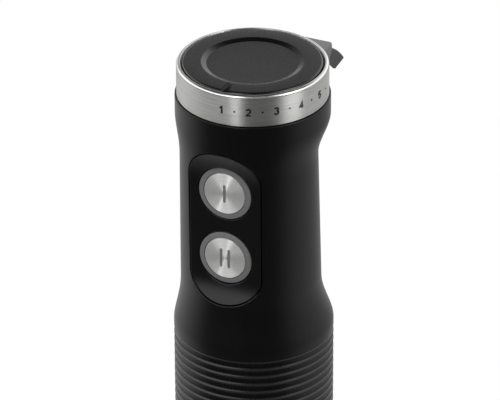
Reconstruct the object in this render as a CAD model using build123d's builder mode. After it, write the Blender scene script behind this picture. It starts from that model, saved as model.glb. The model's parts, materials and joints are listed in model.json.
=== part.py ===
from build123d import *
import os
from math import sqrt

# Immersion blender with a speed ring, two push buttons and a pull-off blending leg.
# Millimetres, +Z up the drive axis, origin on that axis at the rim of the blade guard.
# The buttons face -Y and the cord outlet faces +Y.

os.makedirs("parts", exist_ok=True)

# Clearances
SLIDE_GAP = 0.3
SEAT_GAP = 0.05
BEARING_PLAY = 0.04
RUNNING_PLAY = 0.08
SEAM = 0.3

# Blade guard
GUARD_RADIUS = 34.0
GUARD_TAPER = 1.0
GUARD_LIP = 14.0
GUARD_HEIGHT = 46.0
GUARD_NECK = 13.0
GUARD_WALL = 1.5
GUARD_ROUND = 16.0
GUARD_NECK_ROUND = 20.0
ARCH_WIDTH = 18.0
ARCH_HEIGHT = 11.0

# Leg
TUBE_RADIUS = 12.0
TUBE_WALL = 1.5
TUBE_LENGTH = 100.0
TUBE_INSERT = 14.0
LEG_COLLAR_HEIGHT = 40.0
LEG_COLLAR_RADIUS = 30.6
LEG_COLLAR_RIM = 11.0
LEG_COLLAR_TAPER = 0.6
LEG_COLLAR_WALL = 2.2
LEG_COLLAR_ROUND = 12.0
SPIGOT_RADIUS = 23.6
SPIGOT_WALL = 3.6
SPIGOT_HEIGHT = 18.0
SPIGOT_SKIRT = 6.0
SPIGOT_LEAD = 0.8
CUP_DEPTH = 12.0
BOSS_WALL = 3.0

# Leg bearings and blade
SHAFT_RADIUS = 3.0
BUSH_WALL = 2.9
BUSH_LENGTH = 12.0
SEAL_WALL = 3.8
SEAL_HEIGHT = 5.0
PLUG_LENGTH = 18.0
PLUG_STANDING = 7.0
PLUG_WEB = 1.0
BLADE_HEIGHT = 12.5
BLADE_HUB_RADIUS = 5.0
BLADE_HUB_HEIGHT = 6.0
BLADE_THICKNESS = 1.4
BLADE_WIDTH = 9.0
LOWER_WING_LENGTH = 25.0
LOWER_WING_DROP = 3.5
UPPER_WING_LENGTH = 18.0
UPPER_WING_RISE = 5.5
WING_BEND = 9.0
WING_TIP = 2.25
WING_EDGE_BEND = 1.6
WING_PAIR_TURN = 90.0
CAP_NUT_RADIUS = 4.4
CAP_NUT_HEIGHT = 5.0
CAP_NUT_CHAMFER = 0.8

# Drive coupling between motor and leg
COUPLING_RADIUS = 7.5
COUPLING_LOBES = 6
COUPLING_LOBE_WIDTH = 3.4
COUPLING_HUB_RADIUS = 5.6
COUPLING_ENGAGE = 10.0
COUPLING_STEM = 3.0
COUPLING_GRIP = 9.0
CUP_WALL = 2.6
CUP_FLOOR = 6.0
CUP_LEAD = 0.8

# Leg latch in the base collar
BASE_RADIUS = 30.8
BULKHEAD = 3.4
REGISTER_HEIGHT = 4.0
REGISTER_WALL = 1.8
LATCH_HEIGHT = 9.0
LATCH_BAND = 8.0
LATCH_WALL = 2.2
LATCH_POCKET = 5.2
HOOK_WIDTH = 10.0
HOOK_HEIGHT = 3.5
HOOK_REACH = 1.3
RELEASE_WIDTH = 11.0
RELEASE_HEIGHT = 6.2
RELEASE_LIP = 1.5
RELEASE_LIP_THICKNESS = 1.1
RELEASE_PROUD = 0.8
RELEASE_CORNER = 0.75

# Motor
DAMPER_HEIGHT = 2.0
DAMPER_INNER = 13.5
DAMPER_OUTER = 19.5
MOTOR_RADIUS = 25.0
BRACKET_WALL = 4.6
BRACKET_PLATE = 4.0
BEARING_SEAT_WALL = 2.2
SEAT_LIP = 1.2
RACE_GAP = 1.2
RACE_DEPTH = 0.5
LOWER_BEARING_RADIUS = 8.0
UPPER_BEARING_RADIUS = 6.5
BEARING_HEIGHT = 5.0
LOWER_CHAMBER = 16.0
WINDOW_COUNT = 4
WINDOW_WIDTH = 15.0
WINDOW_TURN = 45.0
STATOR_HEIGHT = 26.0
STATOR_BORE = 13.2
YOKE_WALL = 5.4
POLE_ANGLE = 104.0
COIL_ANGLE = 156.0
COIL_OVERHANG = 6.0
COIL_MARGIN = 3.0
AIR_GAP = 0.6
UPPER_CHAMBER = 19.0
ARMATURE_SLOTS = 12
ARMATURE_SLOT_WIDTH = 2.0
ARMATURE_SLOT_DEPTH = 3.0
WINDING_HEIGHT = 4.5
WINDING_RADIUS = 11.4
WINDING_ROUND = 1.5
WINDING_STANDOFF = 1.5
COMMUTATOR_RADIUS = 8.0
COMMUTATOR_HEIGHT = 10.0
COMMUTATOR_BARS = 12
COMMUTATOR_SLIT = 0.6
COMMUTATOR_SLIT_DEPTH = 1.2
FAN_RADIUS = 18.5
FAN_HEIGHT = 6.0
FAN_DISC = 1.2
FAN_BLADES = 12
FAN_BLADE_THICKNESS = 1.0
FAN_HUB_RADIUS = 5.5
FAN_EYE = 8.0
BRUSH_WIDTH = 5.0
BRUSH_HEIGHT = 4.6
BRUSH_LENGTH = 7.0
HOLDER_WALL = 1.0
HOLDER_STANDOFF = 1.6
MOTOR_SCREW_RADIUS = 1.5
SCREW_HEAD_RADIUS = 2.7
SCREW_HEAD_HEIGHT = 1.7
SCREW_BITE = 3.0
BASE_SCREW_COUNT = 4
BASE_SCREW_CIRCLE = 16.5
BASE_SCREW_TURN = 45.0

# Handle, from the fluted grip up through the scooped neck to the collar
SHELL_WALL = 2.4
GRIP_LENGTH = 69.5
GRIP_RADIUS = 32.2
GRIP_BAND = 3.1
SLEEVE_WALL = 2.6
FLUTE_PITCH = 3.48
FLUTE_COUNT = 19
FLUTE_DEPTH = 0.55
FLARE_HEIGHT = 21.0
FLARE_BIAS = 0.75
NECK_LENGTH = 55.5
NECK_BASE_RADIUS = 28.2
NECK_BASE_SHIFT = 2.4
NECK_TOP_RADIUS = 27.45
NECK_TOP_SHIFT = 3.8
SHOULDER_HEIGHT = 17.0
SHOULDER_BIAS = 1.25
COLLAR_HEIGHT = 8.0
COLLAR_RADIUS = 30.8
BEND_COUNT = 6
SHELF_HEIGHT = 3.0
SHELF_BORE = 15.0
LEDGE_HEIGHT = 2.4
LEDGE_WIDTH = 3.0

# Facet in the front of the neck, with the button panel
FACET_DISTANCE = 26.3
FACET_BASE = 11.7
FACET_LENGTH = 38.8
FACET_TOP_BEND = 31.4
FACET_BASE_BEND = 20.0
FACET_SWEEP = 60.0
FACET_WALL = 2.0
PANEL_WIDTH = 30.6
PANEL_TOP_END = 13.2
PANEL_BASE_END = 11.6
PANEL_LENGTH = 67.4
PANEL_BASE = 20.8
PANEL_THICKNESS = 3.2
PANEL_GROOVE = 0.3

# Push buttons and the switches behind them
BUTTON_MID = 33.7
BUTTON_SPACING = 29.0
BUTTON_RADIUS = 11.2
BUTTON_GAP = 0.4
BUTTON_PROUD = 0.5
BUTTON_CHAMFER = 0.9
BUTTON_FACE_RADIUS = 8.85
BUTTON_FACE_GAP = 0.15
BUTTON_FACE_THICKNESS = 1.0
BUTTON_RIM = 0.3
BUTTON_STEM_RADIUS = 8.0
BUTTON_FLANGE = 1.6
BUTTON_FLANGE_THICKNESS = 1.2
BUTTON_TRAVEL = 1.6
MEMBRANE_SHEET = 1.0
MEMBRANE_WALL = 1.0
MEMBRANE_DOME_RADIUS = 7.5
MEMBRANE_DOME_TOP = 5.0
MEMBRANE_DOME_HEIGHT = 5.4
MEMBRANE_WIDTH = 17.0
MEMBRANE_END = 9.7
MEMBRANE_CORNER = 1.0
SWITCH_SIZE = 6.0
SWITCH_HEIGHT = 3.0
SWITCH_TIP_RADIUS = 1.75
SWITCH_TIP_HEIGHT = 1.2
SWITCH_BOARD_WIDTH = 28.0
SWITCH_BOARD_END = 10.7
BOARD_THICKNESS = 1.6
POST_RADIUS = 2.6
POST_SPREAD = 11.3
BOARD_SCREW_RADIUS = 1.1
BOARD_SCREW_HEAD = 2.2
BOARD_SCREW_LENGTH = 7.0

# Control electronics in the neck
CONTROL_BASE = 5.0
CONTROL_LENGTH = 44.0
CONTROL_WIDTH = 34.0
CONTROL_DEPTH = 8.0
RAIL_HEIGHT = 6.0
RAIL_BITE = 2.0
HEATSINK_WIDTH = 16.0
HEATSINK_LENGTH = 24.0
HEATSINK_DEPTH = 7.0
HEATSINK_PLATE = 1.8
HEATSINK_FINS = 4
HEATSINK_FIN = 1.4
CAPACITOR_WIDTH = 18.0
CAPACITOR_LENGTH = 14.0
CAPACITOR_DEPTH = 8.0
CAPACITOR_DROP = 10.0

# Speed ring and top cap
RING_RADIUS = 30.1
RING_WALL = 1.6
RING_HEIGHT = 13.6
RING_EDGE = 0.7
CAP_GAP = 0.4
CAP_DROP = 0.4
CAP_EDGE = 2.2
CAP_THICKNESS = 2.1
CAP_ROUND = 0.5
DISH_RADIUS = 19.6
DISH_SLOPE = 1.3
DISH_DEPTH = 1.3
CAP_SKIRT = 7.0
CAP_SKIRT_WALL = 1.5
NOTCH_WIDTH = 3.4
NOTCH_LENGTH = 7.5
NOTCH_DEPTH = 1.2
DECK_THICKNESS = 2.0
JOURNAL_RADIUS = 25.0
JOURNAL_WALL = 2.2
TRACK_THICKNESS = 1.2
WIPER_HEIGHT = 1.2
WIPER_GAP = 0.15
WIPER_ANGLE = 24.0
WIPER_INSET = 0.7

# Cord outlet at the back of the collar
HOOD_WIDTH = 21.4
HOOD_REACH = 52.4
HOOD_EDGE = 2.1
HOOD_HEIGHT = 22.0
HOOD_ROUND = 1.5
HOOD_SPIGOT_RADIUS = 5.0
HOOD_SPIGOT_DROP = 17.0
HOOD_SPIGOT_INNER = 19.0
HOOD_BORE_RADIUS = 3.0
BOOT_WIDTH = 20.6
BOOT_THICKNESS = 6.0
BOOT_DROP = 12.9
BOOT_REACH = 12.5
BOOT_BOW = 0.6
BOOT_STEP = 0.3
BOOT_ROUND = 1.2
INLET_LENGTH = 8.0
INLET_WIDTH = 3.6
INLET_DEPTH = 5.0

# Levels up the drive axis
LEG_COLLAR_BASE = GUARD_HEIGHT + TUBE_LENGTH
LEG_TOP = LEG_COLLAR_BASE + LEG_COLLAR_HEIGHT
SPIGOT_TOP = LEG_TOP + SPIGOT_HEIGHT
UNIT_BASE = LEG_TOP + SEAM
BULKHEAD_BASE = SPIGOT_TOP + SEAM
BASE_TOP = BULKHEAD_BASE + BULKHEAD
LATCH_MID = LEG_TOP + LATCH_HEIGHT
BRACKET_BASE = BASE_TOP + DAMPER_HEIGHT
STATOR_BASE = BRACKET_BASE + BRACKET_PLATE + LOWER_CHAMBER
STATOR_TOP = STATOR_BASE + STATOR_HEIGHT
BRACKET_TOP = STATOR_TOP + UPPER_CHAMBER + BRACKET_PLATE
SHELF_BASE = BRACKET_TOP + DAMPER_HEIGHT
GRIP_TOP = BASE_TOP + GRIP_LENGTH
FLARE_BASE = GRIP_TOP + GRIP_BAND
NECK_BASE = FLARE_BASE + FLARE_HEIGHT
NECK_TOP = NECK_BASE + NECK_LENGTH
COLLAR_BASE = NECK_TOP + SHOULDER_HEIGHT
COLLAR_TOP = COLLAR_BASE + COLLAR_HEIGHT
RING_BASE = COLLAR_TOP + SEAM
RING_TOP = RING_BASE + RING_HEIGHT
CAP_TOP = RING_TOP - CAP_DROP

# Alignments for solids that stand on their plane
STANDING = (Align.CENTER, Align.CENTER, Align.MIN)


def level(height):
    """Horizontal plane at a height on the drive axis."""
    return Plane.XY.offset(height)


def facing_front(distance, height):
    """Plane that faces the front, at a distance from the drive axis."""
    return Plane((0, -distance, height), x_dir=(1, 0, 0), z_dir=(0, -1, 0))


def facing_side(distance, height, side):
    """Plane that faces away from the drive axis along X, on either side."""
    return Plane((side * distance, 0, height), x_dir=(0, side, 0), z_dir=(side, 0, 0))


def wedge(angle, radius):
    """Sector of a disc, centred on +Y."""
    with BuildSketch() as sector:
        with BuildLine():
            arc = CenterArc((0, 0), radius, 90 - angle / 2, angle)
            Polyline(arc @ 1, (0, 0), arc @ 0)
        make_face()
    return sector.sketch


# Blade guard: a drawn bell with arches round its rim
half_arch = ARCH_WIDTH / 2
with BuildPart() as blade_guard:
    with BuildSketch(Plane.XZ):
        with BuildLine():
            outline = FilletPolyline(
                (GUARD_RADIUS, 0),
                (GUARD_RADIUS - GUARD_TAPER, GUARD_LIP),
                (TUBE_RADIUS, GUARD_HEIGHT - GUARD_NECK),
                (TUBE_RADIUS, GUARD_HEIGHT),
                radius=[GUARD_ROUND, GUARD_NECK_ROUND],
            )
            Polyline(outline @ 1, (0, GUARD_HEIGHT), (0, 0), outline @ 0)
        make_face()
    revolve(axis=Axis.Z)
    ends = blade_guard.faces().filter_by(Axis.Z)
    offset(amount=-GUARD_WALL, openings=ends)
    for across in (Plane.XZ, Plane.YZ):
        with BuildSketch(across):
            with BuildLine():
                crown = CenterArc((0, ARCH_HEIGHT - half_arch), half_arch, 0, 180)
                Polyline(crown @ 1, (-half_arch, -GUARD_WALL), (half_arch, -GUARD_WALL), crown @ 0)
            make_face()
        extrude(amount=GUARD_RADIUS + GUARD_WALL, both=True, mode=Mode.SUBTRACT)
blade_guard.part.label = "blade_guard"
export_step(blade_guard.part, "parts/blade_guard.step")

# Leg tube, welded to the neck of the guard
with BuildPart(level(GUARD_HEIGHT)) as leg_tube:
    Cylinder(TUBE_RADIUS, TUBE_LENGTH + TUBE_INSERT, align=STANDING)
    Cylinder(TUBE_RADIUS - TUBE_WALL, TUBE_LENGTH + TUBE_INSERT, align=STANDING, mode=Mode.SUBTRACT)
leg_tube.part.label = "leg_tube"
export_step(leg_tube.part, "parts/leg_tube.step")

# Bearing plug in the foot of the leg, with seats for the seal below and the bush above
PLUG_BASE = GUARD_HEIGHT + PLUG_STANDING - PLUG_LENGTH
BUSH_RADIUS = SHAFT_RADIUS + BEARING_PLAY + BUSH_WALL
SEAL_RADIUS = SHAFT_RADIUS + BEARING_PLAY + SEAL_WALL
with BuildPart(level(PLUG_BASE)) as bearing_plug:
    Cylinder(TUBE_RADIUS - TUBE_WALL - SEAT_GAP, PLUG_LENGTH, align=STANDING)
    Cylinder(SHAFT_RADIUS + SLIDE_GAP, PLUG_LENGTH, align=STANDING, mode=Mode.SUBTRACT)
    Cylinder(SEAL_RADIUS + SEAT_GAP, SEAL_HEIGHT, align=STANDING, mode=Mode.SUBTRACT)
    with Locations((0, 0, SEAL_HEIGHT + PLUG_WEB)):
        Cylinder(BUSH_RADIUS + SEAT_GAP, PLUG_LENGTH, align=STANDING, mode=Mode.SUBTRACT)
bearing_plug.part.label = "bearing_plug"
export_step(bearing_plug.part, "parts/bearing_plug.step")

# Lip seal round the drive shaft
with BuildPart(level(PLUG_BASE)) as shaft_seal:
    Cylinder(SEAL_RADIUS, SEAL_HEIGHT, align=STANDING)
    Cylinder(SHAFT_RADIUS + BEARING_PLAY, SEAL_HEIGHT, align=STANDING, mode=Mode.SUBTRACT)
shaft_seal.part.label = "shaft_seal"
export_step(shaft_seal.part, "parts/shaft_seal.step")

# Plain bushes at the foot and the head of the leg
BOSS_TOP = LEG_TOP - CUP_DEPTH + BUSH_LENGTH / 2
BUSH_SEATS = {
    "lower_bush": PLUG_BASE + SEAL_HEIGHT + PLUG_WEB,
    "upper_bush": BOSS_TOP - BUSH_LENGTH,
}
for bush_name, seat in BUSH_SEATS.items():
    with BuildPart(level(seat)) as bush:
        Cylinder(BUSH_RADIUS, BUSH_LENGTH, align=STANDING)
        Cylinder(SHAFT_RADIUS + BEARING_PLAY, BUSH_LENGTH, align=STANDING, mode=Mode.SUBTRACT)
    bush.part.label = bush_name
    export_step(bush.part, f"parts/{bush_name}.step")

# Leg collar: flares from the tube to the motor unit, with a counterbore for the spigot
CUP_RADIUS = SPIGOT_RADIUS - SPIGOT_WALL
CUP_BASE = LEG_TOP - CUP_DEPTH
SPIGOT_BASE = LEG_TOP - SPIGOT_SKIRT
with BuildPart() as leg_collar:
    with BuildSketch(Plane.XZ):
        with BuildLine():
            flare = FilletPolyline(
                (TUBE_RADIUS + LEG_COLLAR_WALL, LEG_COLLAR_BASE),
                (TUBE_RADIUS + LEG_COLLAR_WALL, LEG_COLLAR_BASE + LEG_COLLAR_RIM),
                (LEG_COLLAR_RADIUS - LEG_COLLAR_TAPER, LEG_TOP - LEG_COLLAR_RIM),
                (LEG_COLLAR_RADIUS, LEG_TOP),
                radius=LEG_COLLAR_ROUND,
            )
            Polyline(flare @ 1, (0, LEG_TOP), (0, LEG_COLLAR_BASE), flare @ 0)
        make_face()
    revolve(axis=Axis.Z)
    with BuildSketch(level(CUP_BASE)):
        Circle(CUP_RADIUS)
        Circle(BUSH_RADIUS + BOSS_WALL, mode=Mode.SUBTRACT)
    extrude(amount=CUP_DEPTH, mode=Mode.SUBTRACT)
    with BuildSketch(level(BOSS_TOP)):
        Circle(CUP_RADIUS)
    extrude(amount=LEG_TOP - BOSS_TOP, mode=Mode.SUBTRACT)
    with BuildSketch(level(SPIGOT_BASE)):
        Circle(SPIGOT_RADIUS + SEAT_GAP)
    extrude(amount=SPIGOT_SKIRT, mode=Mode.SUBTRACT)
    with BuildSketch(level(LEG_COLLAR_BASE)):
        Circle(TUBE_RADIUS + SEAT_GAP)
    extrude(amount=TUBE_INSERT, mode=Mode.SUBTRACT)
    with BuildSketch(level(LEG_COLLAR_BASE)):
        Circle(SHAFT_RADIUS + SLIDE_GAP)
    extrude(amount=LEG_COLLAR_HEIGHT, mode=Mode.SUBTRACT)
    with BuildSketch(level(BOSS_TOP - BUSH_LENGTH)):
        Circle(BUSH_RADIUS + SEAT_GAP)
    extrude(amount=BUSH_LENGTH, mode=Mode.SUBTRACT)
leg_collar.part.label = "leg_collar"
export_step(leg_collar.part, "parts/leg_collar.step")

# Spigot: the tube in the head of the leg, with a groove for the hooks of the latch
LATCH_GROOVE = HOOK_REACH + SLIDE_GAP
with BuildPart() as leg_spigot:
    with BuildSketch(level(SPIGOT_BASE)):
        Circle(SPIGOT_RADIUS)
    extrude(amount=SPIGOT_TOP - SPIGOT_BASE)
    chamfer(leg_spigot.faces().sort_by(Axis.Z)[-1].edges(), SPIGOT_LEAD)
    with BuildSketch(level(SPIGOT_BASE)):
        Circle(CUP_RADIUS)
    extrude(amount=SPIGOT_TOP - SPIGOT_BASE, mode=Mode.SUBTRACT)
    with BuildSketch(level(LATCH_MID - HOOK_HEIGHT / 2 - SLIDE_GAP)):
        Circle(SPIGOT_RADIUS + SEAM)
        Circle(SPIGOT_RADIUS - LATCH_GROOVE, mode=Mode.SUBTRACT)
    extrude(amount=HOOK_HEIGHT + 2 * SLIDE_GAP, mode=Mode.SUBTRACT)
leg_spigot.part.label = "leg_spigot"
export_step(leg_spigot.part, "parts/leg_spigot.step")

# Drive shaft from the blade up into the leg coupling
COUPLING_TOP = SPIGOT_TOP - COUPLING_STEM
CUP_COUPLING_BASE = COUPLING_TOP - COUPLING_ENGAGE - CUP_FLOOR
SHAFT_TOP = CUP_COUPLING_BASE + CUP_FLOOR - SEAM
with BuildPart(level(BLADE_HEIGHT - CAP_NUT_HEIGHT / 2)) as drive_shaft:
    Cylinder(SHAFT_RADIUS, SHAFT_TOP - BLADE_HEIGHT + CAP_NUT_HEIGHT / 2, align=STANDING)
drive_shaft.part.label = "drive_shaft"
export_step(drive_shaft.part, "parts/drive_shaft.step")


def coupling_star(growth):
    """Outline of the coupling lobes, grown outward by a clearance."""
    with BuildSketch() as star:
        Circle(COUPLING_HUB_RADIUS + growth)
        with PolarLocations(0, COUPLING_LOBES // 2, angular_range=180):
            SlotOverall(2 * (COUPLING_RADIUS + growth), COUPLING_LOBE_WIDTH + 2 * growth)
    return star.sketch


# Female coupling on the head of the drive shaft
with BuildPart(level(CUP_COUPLING_BASE)) as leg_coupling:
    Cylinder(COUPLING_RADIUS + SLIDE_GAP + CUP_WALL, CUP_FLOOR + COUPLING_ENGAGE, align=STANDING)
    Cylinder(SHAFT_RADIUS + SEAT_GAP, CUP_FLOOR - SEAM, align=STANDING, mode=Mode.SUBTRACT)
    with BuildSketch(level(CUP_COUPLING_BASE + CUP_FLOOR)):
        add(coupling_star(SLIDE_GAP))
    extrude(amount=COUPLING_ENGAGE, mode=Mode.SUBTRACT)
    chamfer(leg_coupling.faces().sort_by(Axis.Z)[-1].outer_wire().edges(), CUP_LEAD)
leg_coupling.part.label = "leg_coupling"
export_step(leg_coupling.part, "parts/leg_coupling.step")


def blade_wing(length, rise):
    """One wing along +X: a flat root, then a blade bent up or down to its pointed tip."""
    with BuildPart() as wing:
        with BuildSketch(Plane.XZ):
            with BuildLine():
                under = Polyline((0, 0), (WING_BEND, 0), (length, rise))
                Polyline(
                    under @ 1,
                    (length, rise + BLADE_THICKNESS),
                    (WING_BEND, BLADE_THICKNESS),
                    (0, BLADE_THICKNESS),
                    under @ 0,
                )
            make_face()
        extrude(amount=BLADE_WIDTH, both=True)
        with BuildSketch(Plane.XY.offset(-abs(rise) - BLADE_THICKNESS)):
            with BuildLine():
                back = BLADE_WIDTH / 2
                edge = RadiusArc((0, -back), (length, back - WING_TIP), -length * WING_EDGE_BEND)
                Polyline(edge @ 1, (length, back), (0, back), edge @ 0)
            make_face()
        extrude(amount=2 * (abs(rise) + BLADE_THICKNESS), mode=Mode.INTERSECT)
    return wing.part


# Blade: a hub with one pair of wings bent down and one pair bent up
lower_wing = blade_wing(LOWER_WING_LENGTH, -LOWER_WING_DROP)
upper_wing = blade_wing(UPPER_WING_LENGTH, UPPER_WING_RISE)
with BuildPart(level(BLADE_HEIGHT)) as blade:
    Cylinder(BLADE_HUB_RADIUS, BLADE_HUB_HEIGHT, align=STANDING)
    with PolarLocations(0, 2):
        add(lower_wing)
    with Locations((0, 0, BLADE_THICKNESS)):
        with PolarLocations(0, 2, start_angle=WING_PAIR_TURN):
            add(upper_wing)
    Cylinder(SHAFT_RADIUS + SEAT_GAP, BLADE_HUB_HEIGHT, align=STANDING, mode=Mode.SUBTRACT)
blade.part.label = "blade"
export_step(blade.part, "parts/blade.step")

# Cap nut that clamps the blade on the end of the shaft
with BuildPart(level(BLADE_HEIGHT - CAP_NUT_HEIGHT)) as cap_nut:
    with BuildSketch(level(BLADE_HEIGHT - CAP_NUT_HEIGHT)):
        RegularPolygon(CAP_NUT_RADIUS, 6)
    extrude(amount=CAP_NUT_HEIGHT)
    chamfer(cap_nut.faces().sort_by(Axis.Z)[0].edges(), CAP_NUT_CHAMFER)
    with Locations((0, 0, CAP_NUT_HEIGHT / 2)):
        Cylinder(SHAFT_RADIUS + SEAT_GAP, CAP_NUT_HEIGHT, align=STANDING, mode=Mode.SUBTRACT)
cap_nut.part.label = "cap_nut"
export_step(cap_nut.part, "parts/cap_nut.step")

# Base collar of the motor unit: socket for the spigot, latch pocket and release windows
SOCKET_RADIUS = SPIGOT_RADIUS + SLIDE_GAP
POCKET_RADIUS = SOCKET_RADIUS + LATCH_POCKET
SHELL_RADIUS = GRIP_RADIUS - SLEEVE_WALL
SHELL_BORE = SHELL_RADIUS - SHELL_WALL
SHAFT_HOLE = COUPLING_RADIUS + SLIDE_GAP
with BuildPart() as base_collar:
    with BuildSketch(Plane.XZ):
        with BuildLine():
            Polyline(
                (SOCKET_RADIUS, UNIT_BASE),
                (BASE_RADIUS, UNIT_BASE),
                (GRIP_RADIUS, BASE_TOP),
                (SHELL_BORE - SEAT_GAP, BASE_TOP),
                (SHELL_BORE - SEAT_GAP, BASE_TOP + REGISTER_HEIGHT),
                (SHELL_BORE - SEAT_GAP - REGISTER_WALL, BASE_TOP + REGISTER_HEIGHT),
                (SHELL_BORE - SEAT_GAP - REGISTER_WALL, BASE_TOP),
                (SHAFT_HOLE, BASE_TOP),
                (SHAFT_HOLE, BULKHEAD_BASE),
                (SOCKET_RADIUS, BULKHEAD_BASE),
                close=True,
            )
        make_face()
    revolve(axis=Axis.Z)
    with BuildSketch(level(LATCH_MID - LATCH_BAND / 2 - SLIDE_GAP)):
        Circle(POCKET_RADIUS)
    extrude(amount=LATCH_BAND + 2 * SLIDE_GAP, mode=Mode.SUBTRACT)
    with BuildSketch(facing_side(0, LATCH_MID, 1)):
        Rectangle(RELEASE_WIDTH + 2 * SLIDE_GAP, RELEASE_HEIGHT + 2 * SLIDE_GAP)
    extrude(amount=GRIP_RADIUS, both=True, mode=Mode.SUBTRACT)
    with Locations(Location((0, 0, BULKHEAD_BASE), (180, 0, 0))):
        with PolarLocations(BASE_SCREW_CIRCLE, BASE_SCREW_COUNT, start_angle=BASE_SCREW_TURN):
            CounterBoreHole(
                MOTOR_SCREW_RADIUS + SEAT_GAP,
                SCREW_HEAD_RADIUS + SEAT_GAP,
                SCREW_HEAD_HEIGHT + SEAT_GAP,
                BULKHEAD,
            )
base_collar.part.label = "base_collar"
export_step(base_collar.part, "parts/base_collar.step")

# Latch ring: a springy band whose two hooks hold the groove of the spigot
LATCH_RADIUS = SOCKET_RADIUS + SLIDE_GAP
with BuildPart() as latch_ring:
    with BuildSketch(level(LATCH_MID - LATCH_BAND / 2)):
        Circle(LATCH_RADIUS + LATCH_WALL)
        Circle(LATCH_RADIUS, mode=Mode.SUBTRACT)
    extrude(amount=LATCH_BAND)
    with BuildSketch(level(LATCH_MID - HOOK_HEIGHT / 2)):
        Circle(LATCH_RADIUS + LATCH_WALL / 2)
        Circle(SPIGOT_RADIUS - HOOK_REACH, mode=Mode.SUBTRACT)
        Rectangle(HOOK_WIDTH, 2 * (LATCH_RADIUS + LATCH_WALL), mode=Mode.INTERSECT)
    extrude(amount=HOOK_HEIGHT)
latch_ring.part.label = "latch_ring"
export_step(latch_ring.part, "parts/latch_ring.step")

# Release buttons, one on each side of the base collar
RELEASE_INNER = LATCH_RADIUS + LATCH_WALL + SLIDE_GAP
RELEASE_OUTER = BASE_RADIUS + RELEASE_PROUD
for side, side_name in ((-1, "left"), (1, "right")):
    with BuildPart() as release_button:
        with BuildSketch(facing_side(RELEASE_INNER, LATCH_MID, side)):
            RectangleRounded(RELEASE_WIDTH + 2 * RELEASE_LIP, LATCH_BAND - 2 * SLIDE_GAP, RELEASE_CORNER)
        extrude(amount=RELEASE_LIP_THICKNESS)
        with BuildSketch(facing_side(RELEASE_INNER, LATCH_MID, side)):
            Rectangle(RELEASE_WIDTH, RELEASE_HEIGHT)
        extrude(amount=RELEASE_OUTER - RELEASE_INNER)
        crown_face = release_button.faces().sort_by(Axis((0, 0, 0), (side, 0, 0)))[-1]
        fillet(crown_face.edges(), RELEASE_PROUD)
    release_button.part.label = f"release_button_{side_name}"
    export_step(release_button.part, f"parts/release_button_{side_name}.step")

# Rubber damper under the motor, pierced by the base screws
with BuildPart() as lower_damper:
    with BuildSketch(level(BASE_TOP)):
        Circle(DAMPER_OUTER)
        Circle(DAMPER_INNER, mode=Mode.SUBTRACT)
        with PolarLocations(BASE_SCREW_CIRCLE, BASE_SCREW_COUNT, start_angle=BASE_SCREW_TURN):
            Circle(MOTOR_SCREW_RADIUS + SEAT_GAP, mode=Mode.SUBTRACT)
    extrude(amount=DAMPER_HEIGHT)
lower_damper.part.label = "lower_damper"
export_step(lower_damper.part, "parts/lower_damper.step")

# Lower motor bracket: plate, bearing seat and a windowed wall up to the stator
MOTOR_SCREW_SPREAD = MOTOR_RADIUS - BRACKET_WALL / 2
with BuildPart(level(BRACKET_BASE)) as lower_bracket:
    Cylinder(MOTOR_RADIUS, BRACKET_PLATE + LOWER_CHAMBER, align=STANDING)
    with BuildSketch(level(BRACKET_BASE + BRACKET_PLATE)):
        Circle(MOTOR_RADIUS - BRACKET_WALL)
        Circle(LOWER_BEARING_RADIUS + BEARING_SEAT_WALL, mode=Mode.SUBTRACT)
    extrude(amount=LOWER_CHAMBER, mode=Mode.SUBTRACT)
    with BuildSketch(level(BRACKET_BASE + SEAT_LIP + BEARING_HEIGHT)):
        Circle(MOTOR_RADIUS - BRACKET_WALL)
    extrude(amount=LOWER_CHAMBER, mode=Mode.SUBTRACT)
    with BuildSketch(level(BRACKET_BASE + SEAT_LIP)):
        Circle(LOWER_BEARING_RADIUS + SEAT_GAP)
    extrude(amount=BEARING_HEIGHT, mode=Mode.SUBTRACT)
    Cylinder(SHAFT_RADIUS + 2 * SLIDE_GAP, BRACKET_PLATE, align=STANDING, mode=Mode.SUBTRACT)
    with BuildSketch(level(BRACKET_BASE + BRACKET_PLATE)):
        with PolarLocations(MOTOR_RADIUS, WINDOW_COUNT, start_angle=WINDOW_TURN):
            Rectangle(MOTOR_RADIUS, WINDOW_WIDTH)
    extrude(amount=LOWER_CHAMBER - BRACKET_PLATE, mode=Mode.SUBTRACT)
    with Locations((0, 0, SCREW_BITE)):
        with PolarLocations(MOTOR_SCREW_SPREAD, 2):
            Cylinder(
                MOTOR_SCREW_RADIUS + SEAT_GAP,
                BRACKET_PLATE + LOWER_CHAMBER,
                align=STANDING,
                mode=Mode.SUBTRACT,
            )
    with PolarLocations(BASE_SCREW_CIRCLE, BASE_SCREW_COUNT, start_angle=BASE_SCREW_TURN):
        Cylinder(MOTOR_SCREW_RADIUS + SEAT_GAP, BRACKET_PLATE, align=STANDING, mode=Mode.SUBTRACT)
lower_bracket.part.label = "lower_bracket"
export_step(lower_bracket.part, "parts/lower_bracket.step")

# Screws that hold the motor on the base collar
with BuildPart(level(BULKHEAD_BASE)) as base_screws:
    with PolarLocations(BASE_SCREW_CIRCLE, BASE_SCREW_COUNT, start_angle=BASE_SCREW_TURN):
        Cylinder(SCREW_HEAD_RADIUS, SCREW_HEAD_HEIGHT, align=STANDING)
        Cylinder(
            MOTOR_SCREW_RADIUS,
            BULKHEAD + DAMPER_HEIGHT + BRACKET_PLATE - SEAM,
            align=STANDING,
        )
base_screws.part.label = "base_screws"
export_step(base_screws.part, "parts/base_screws.step")

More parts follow.
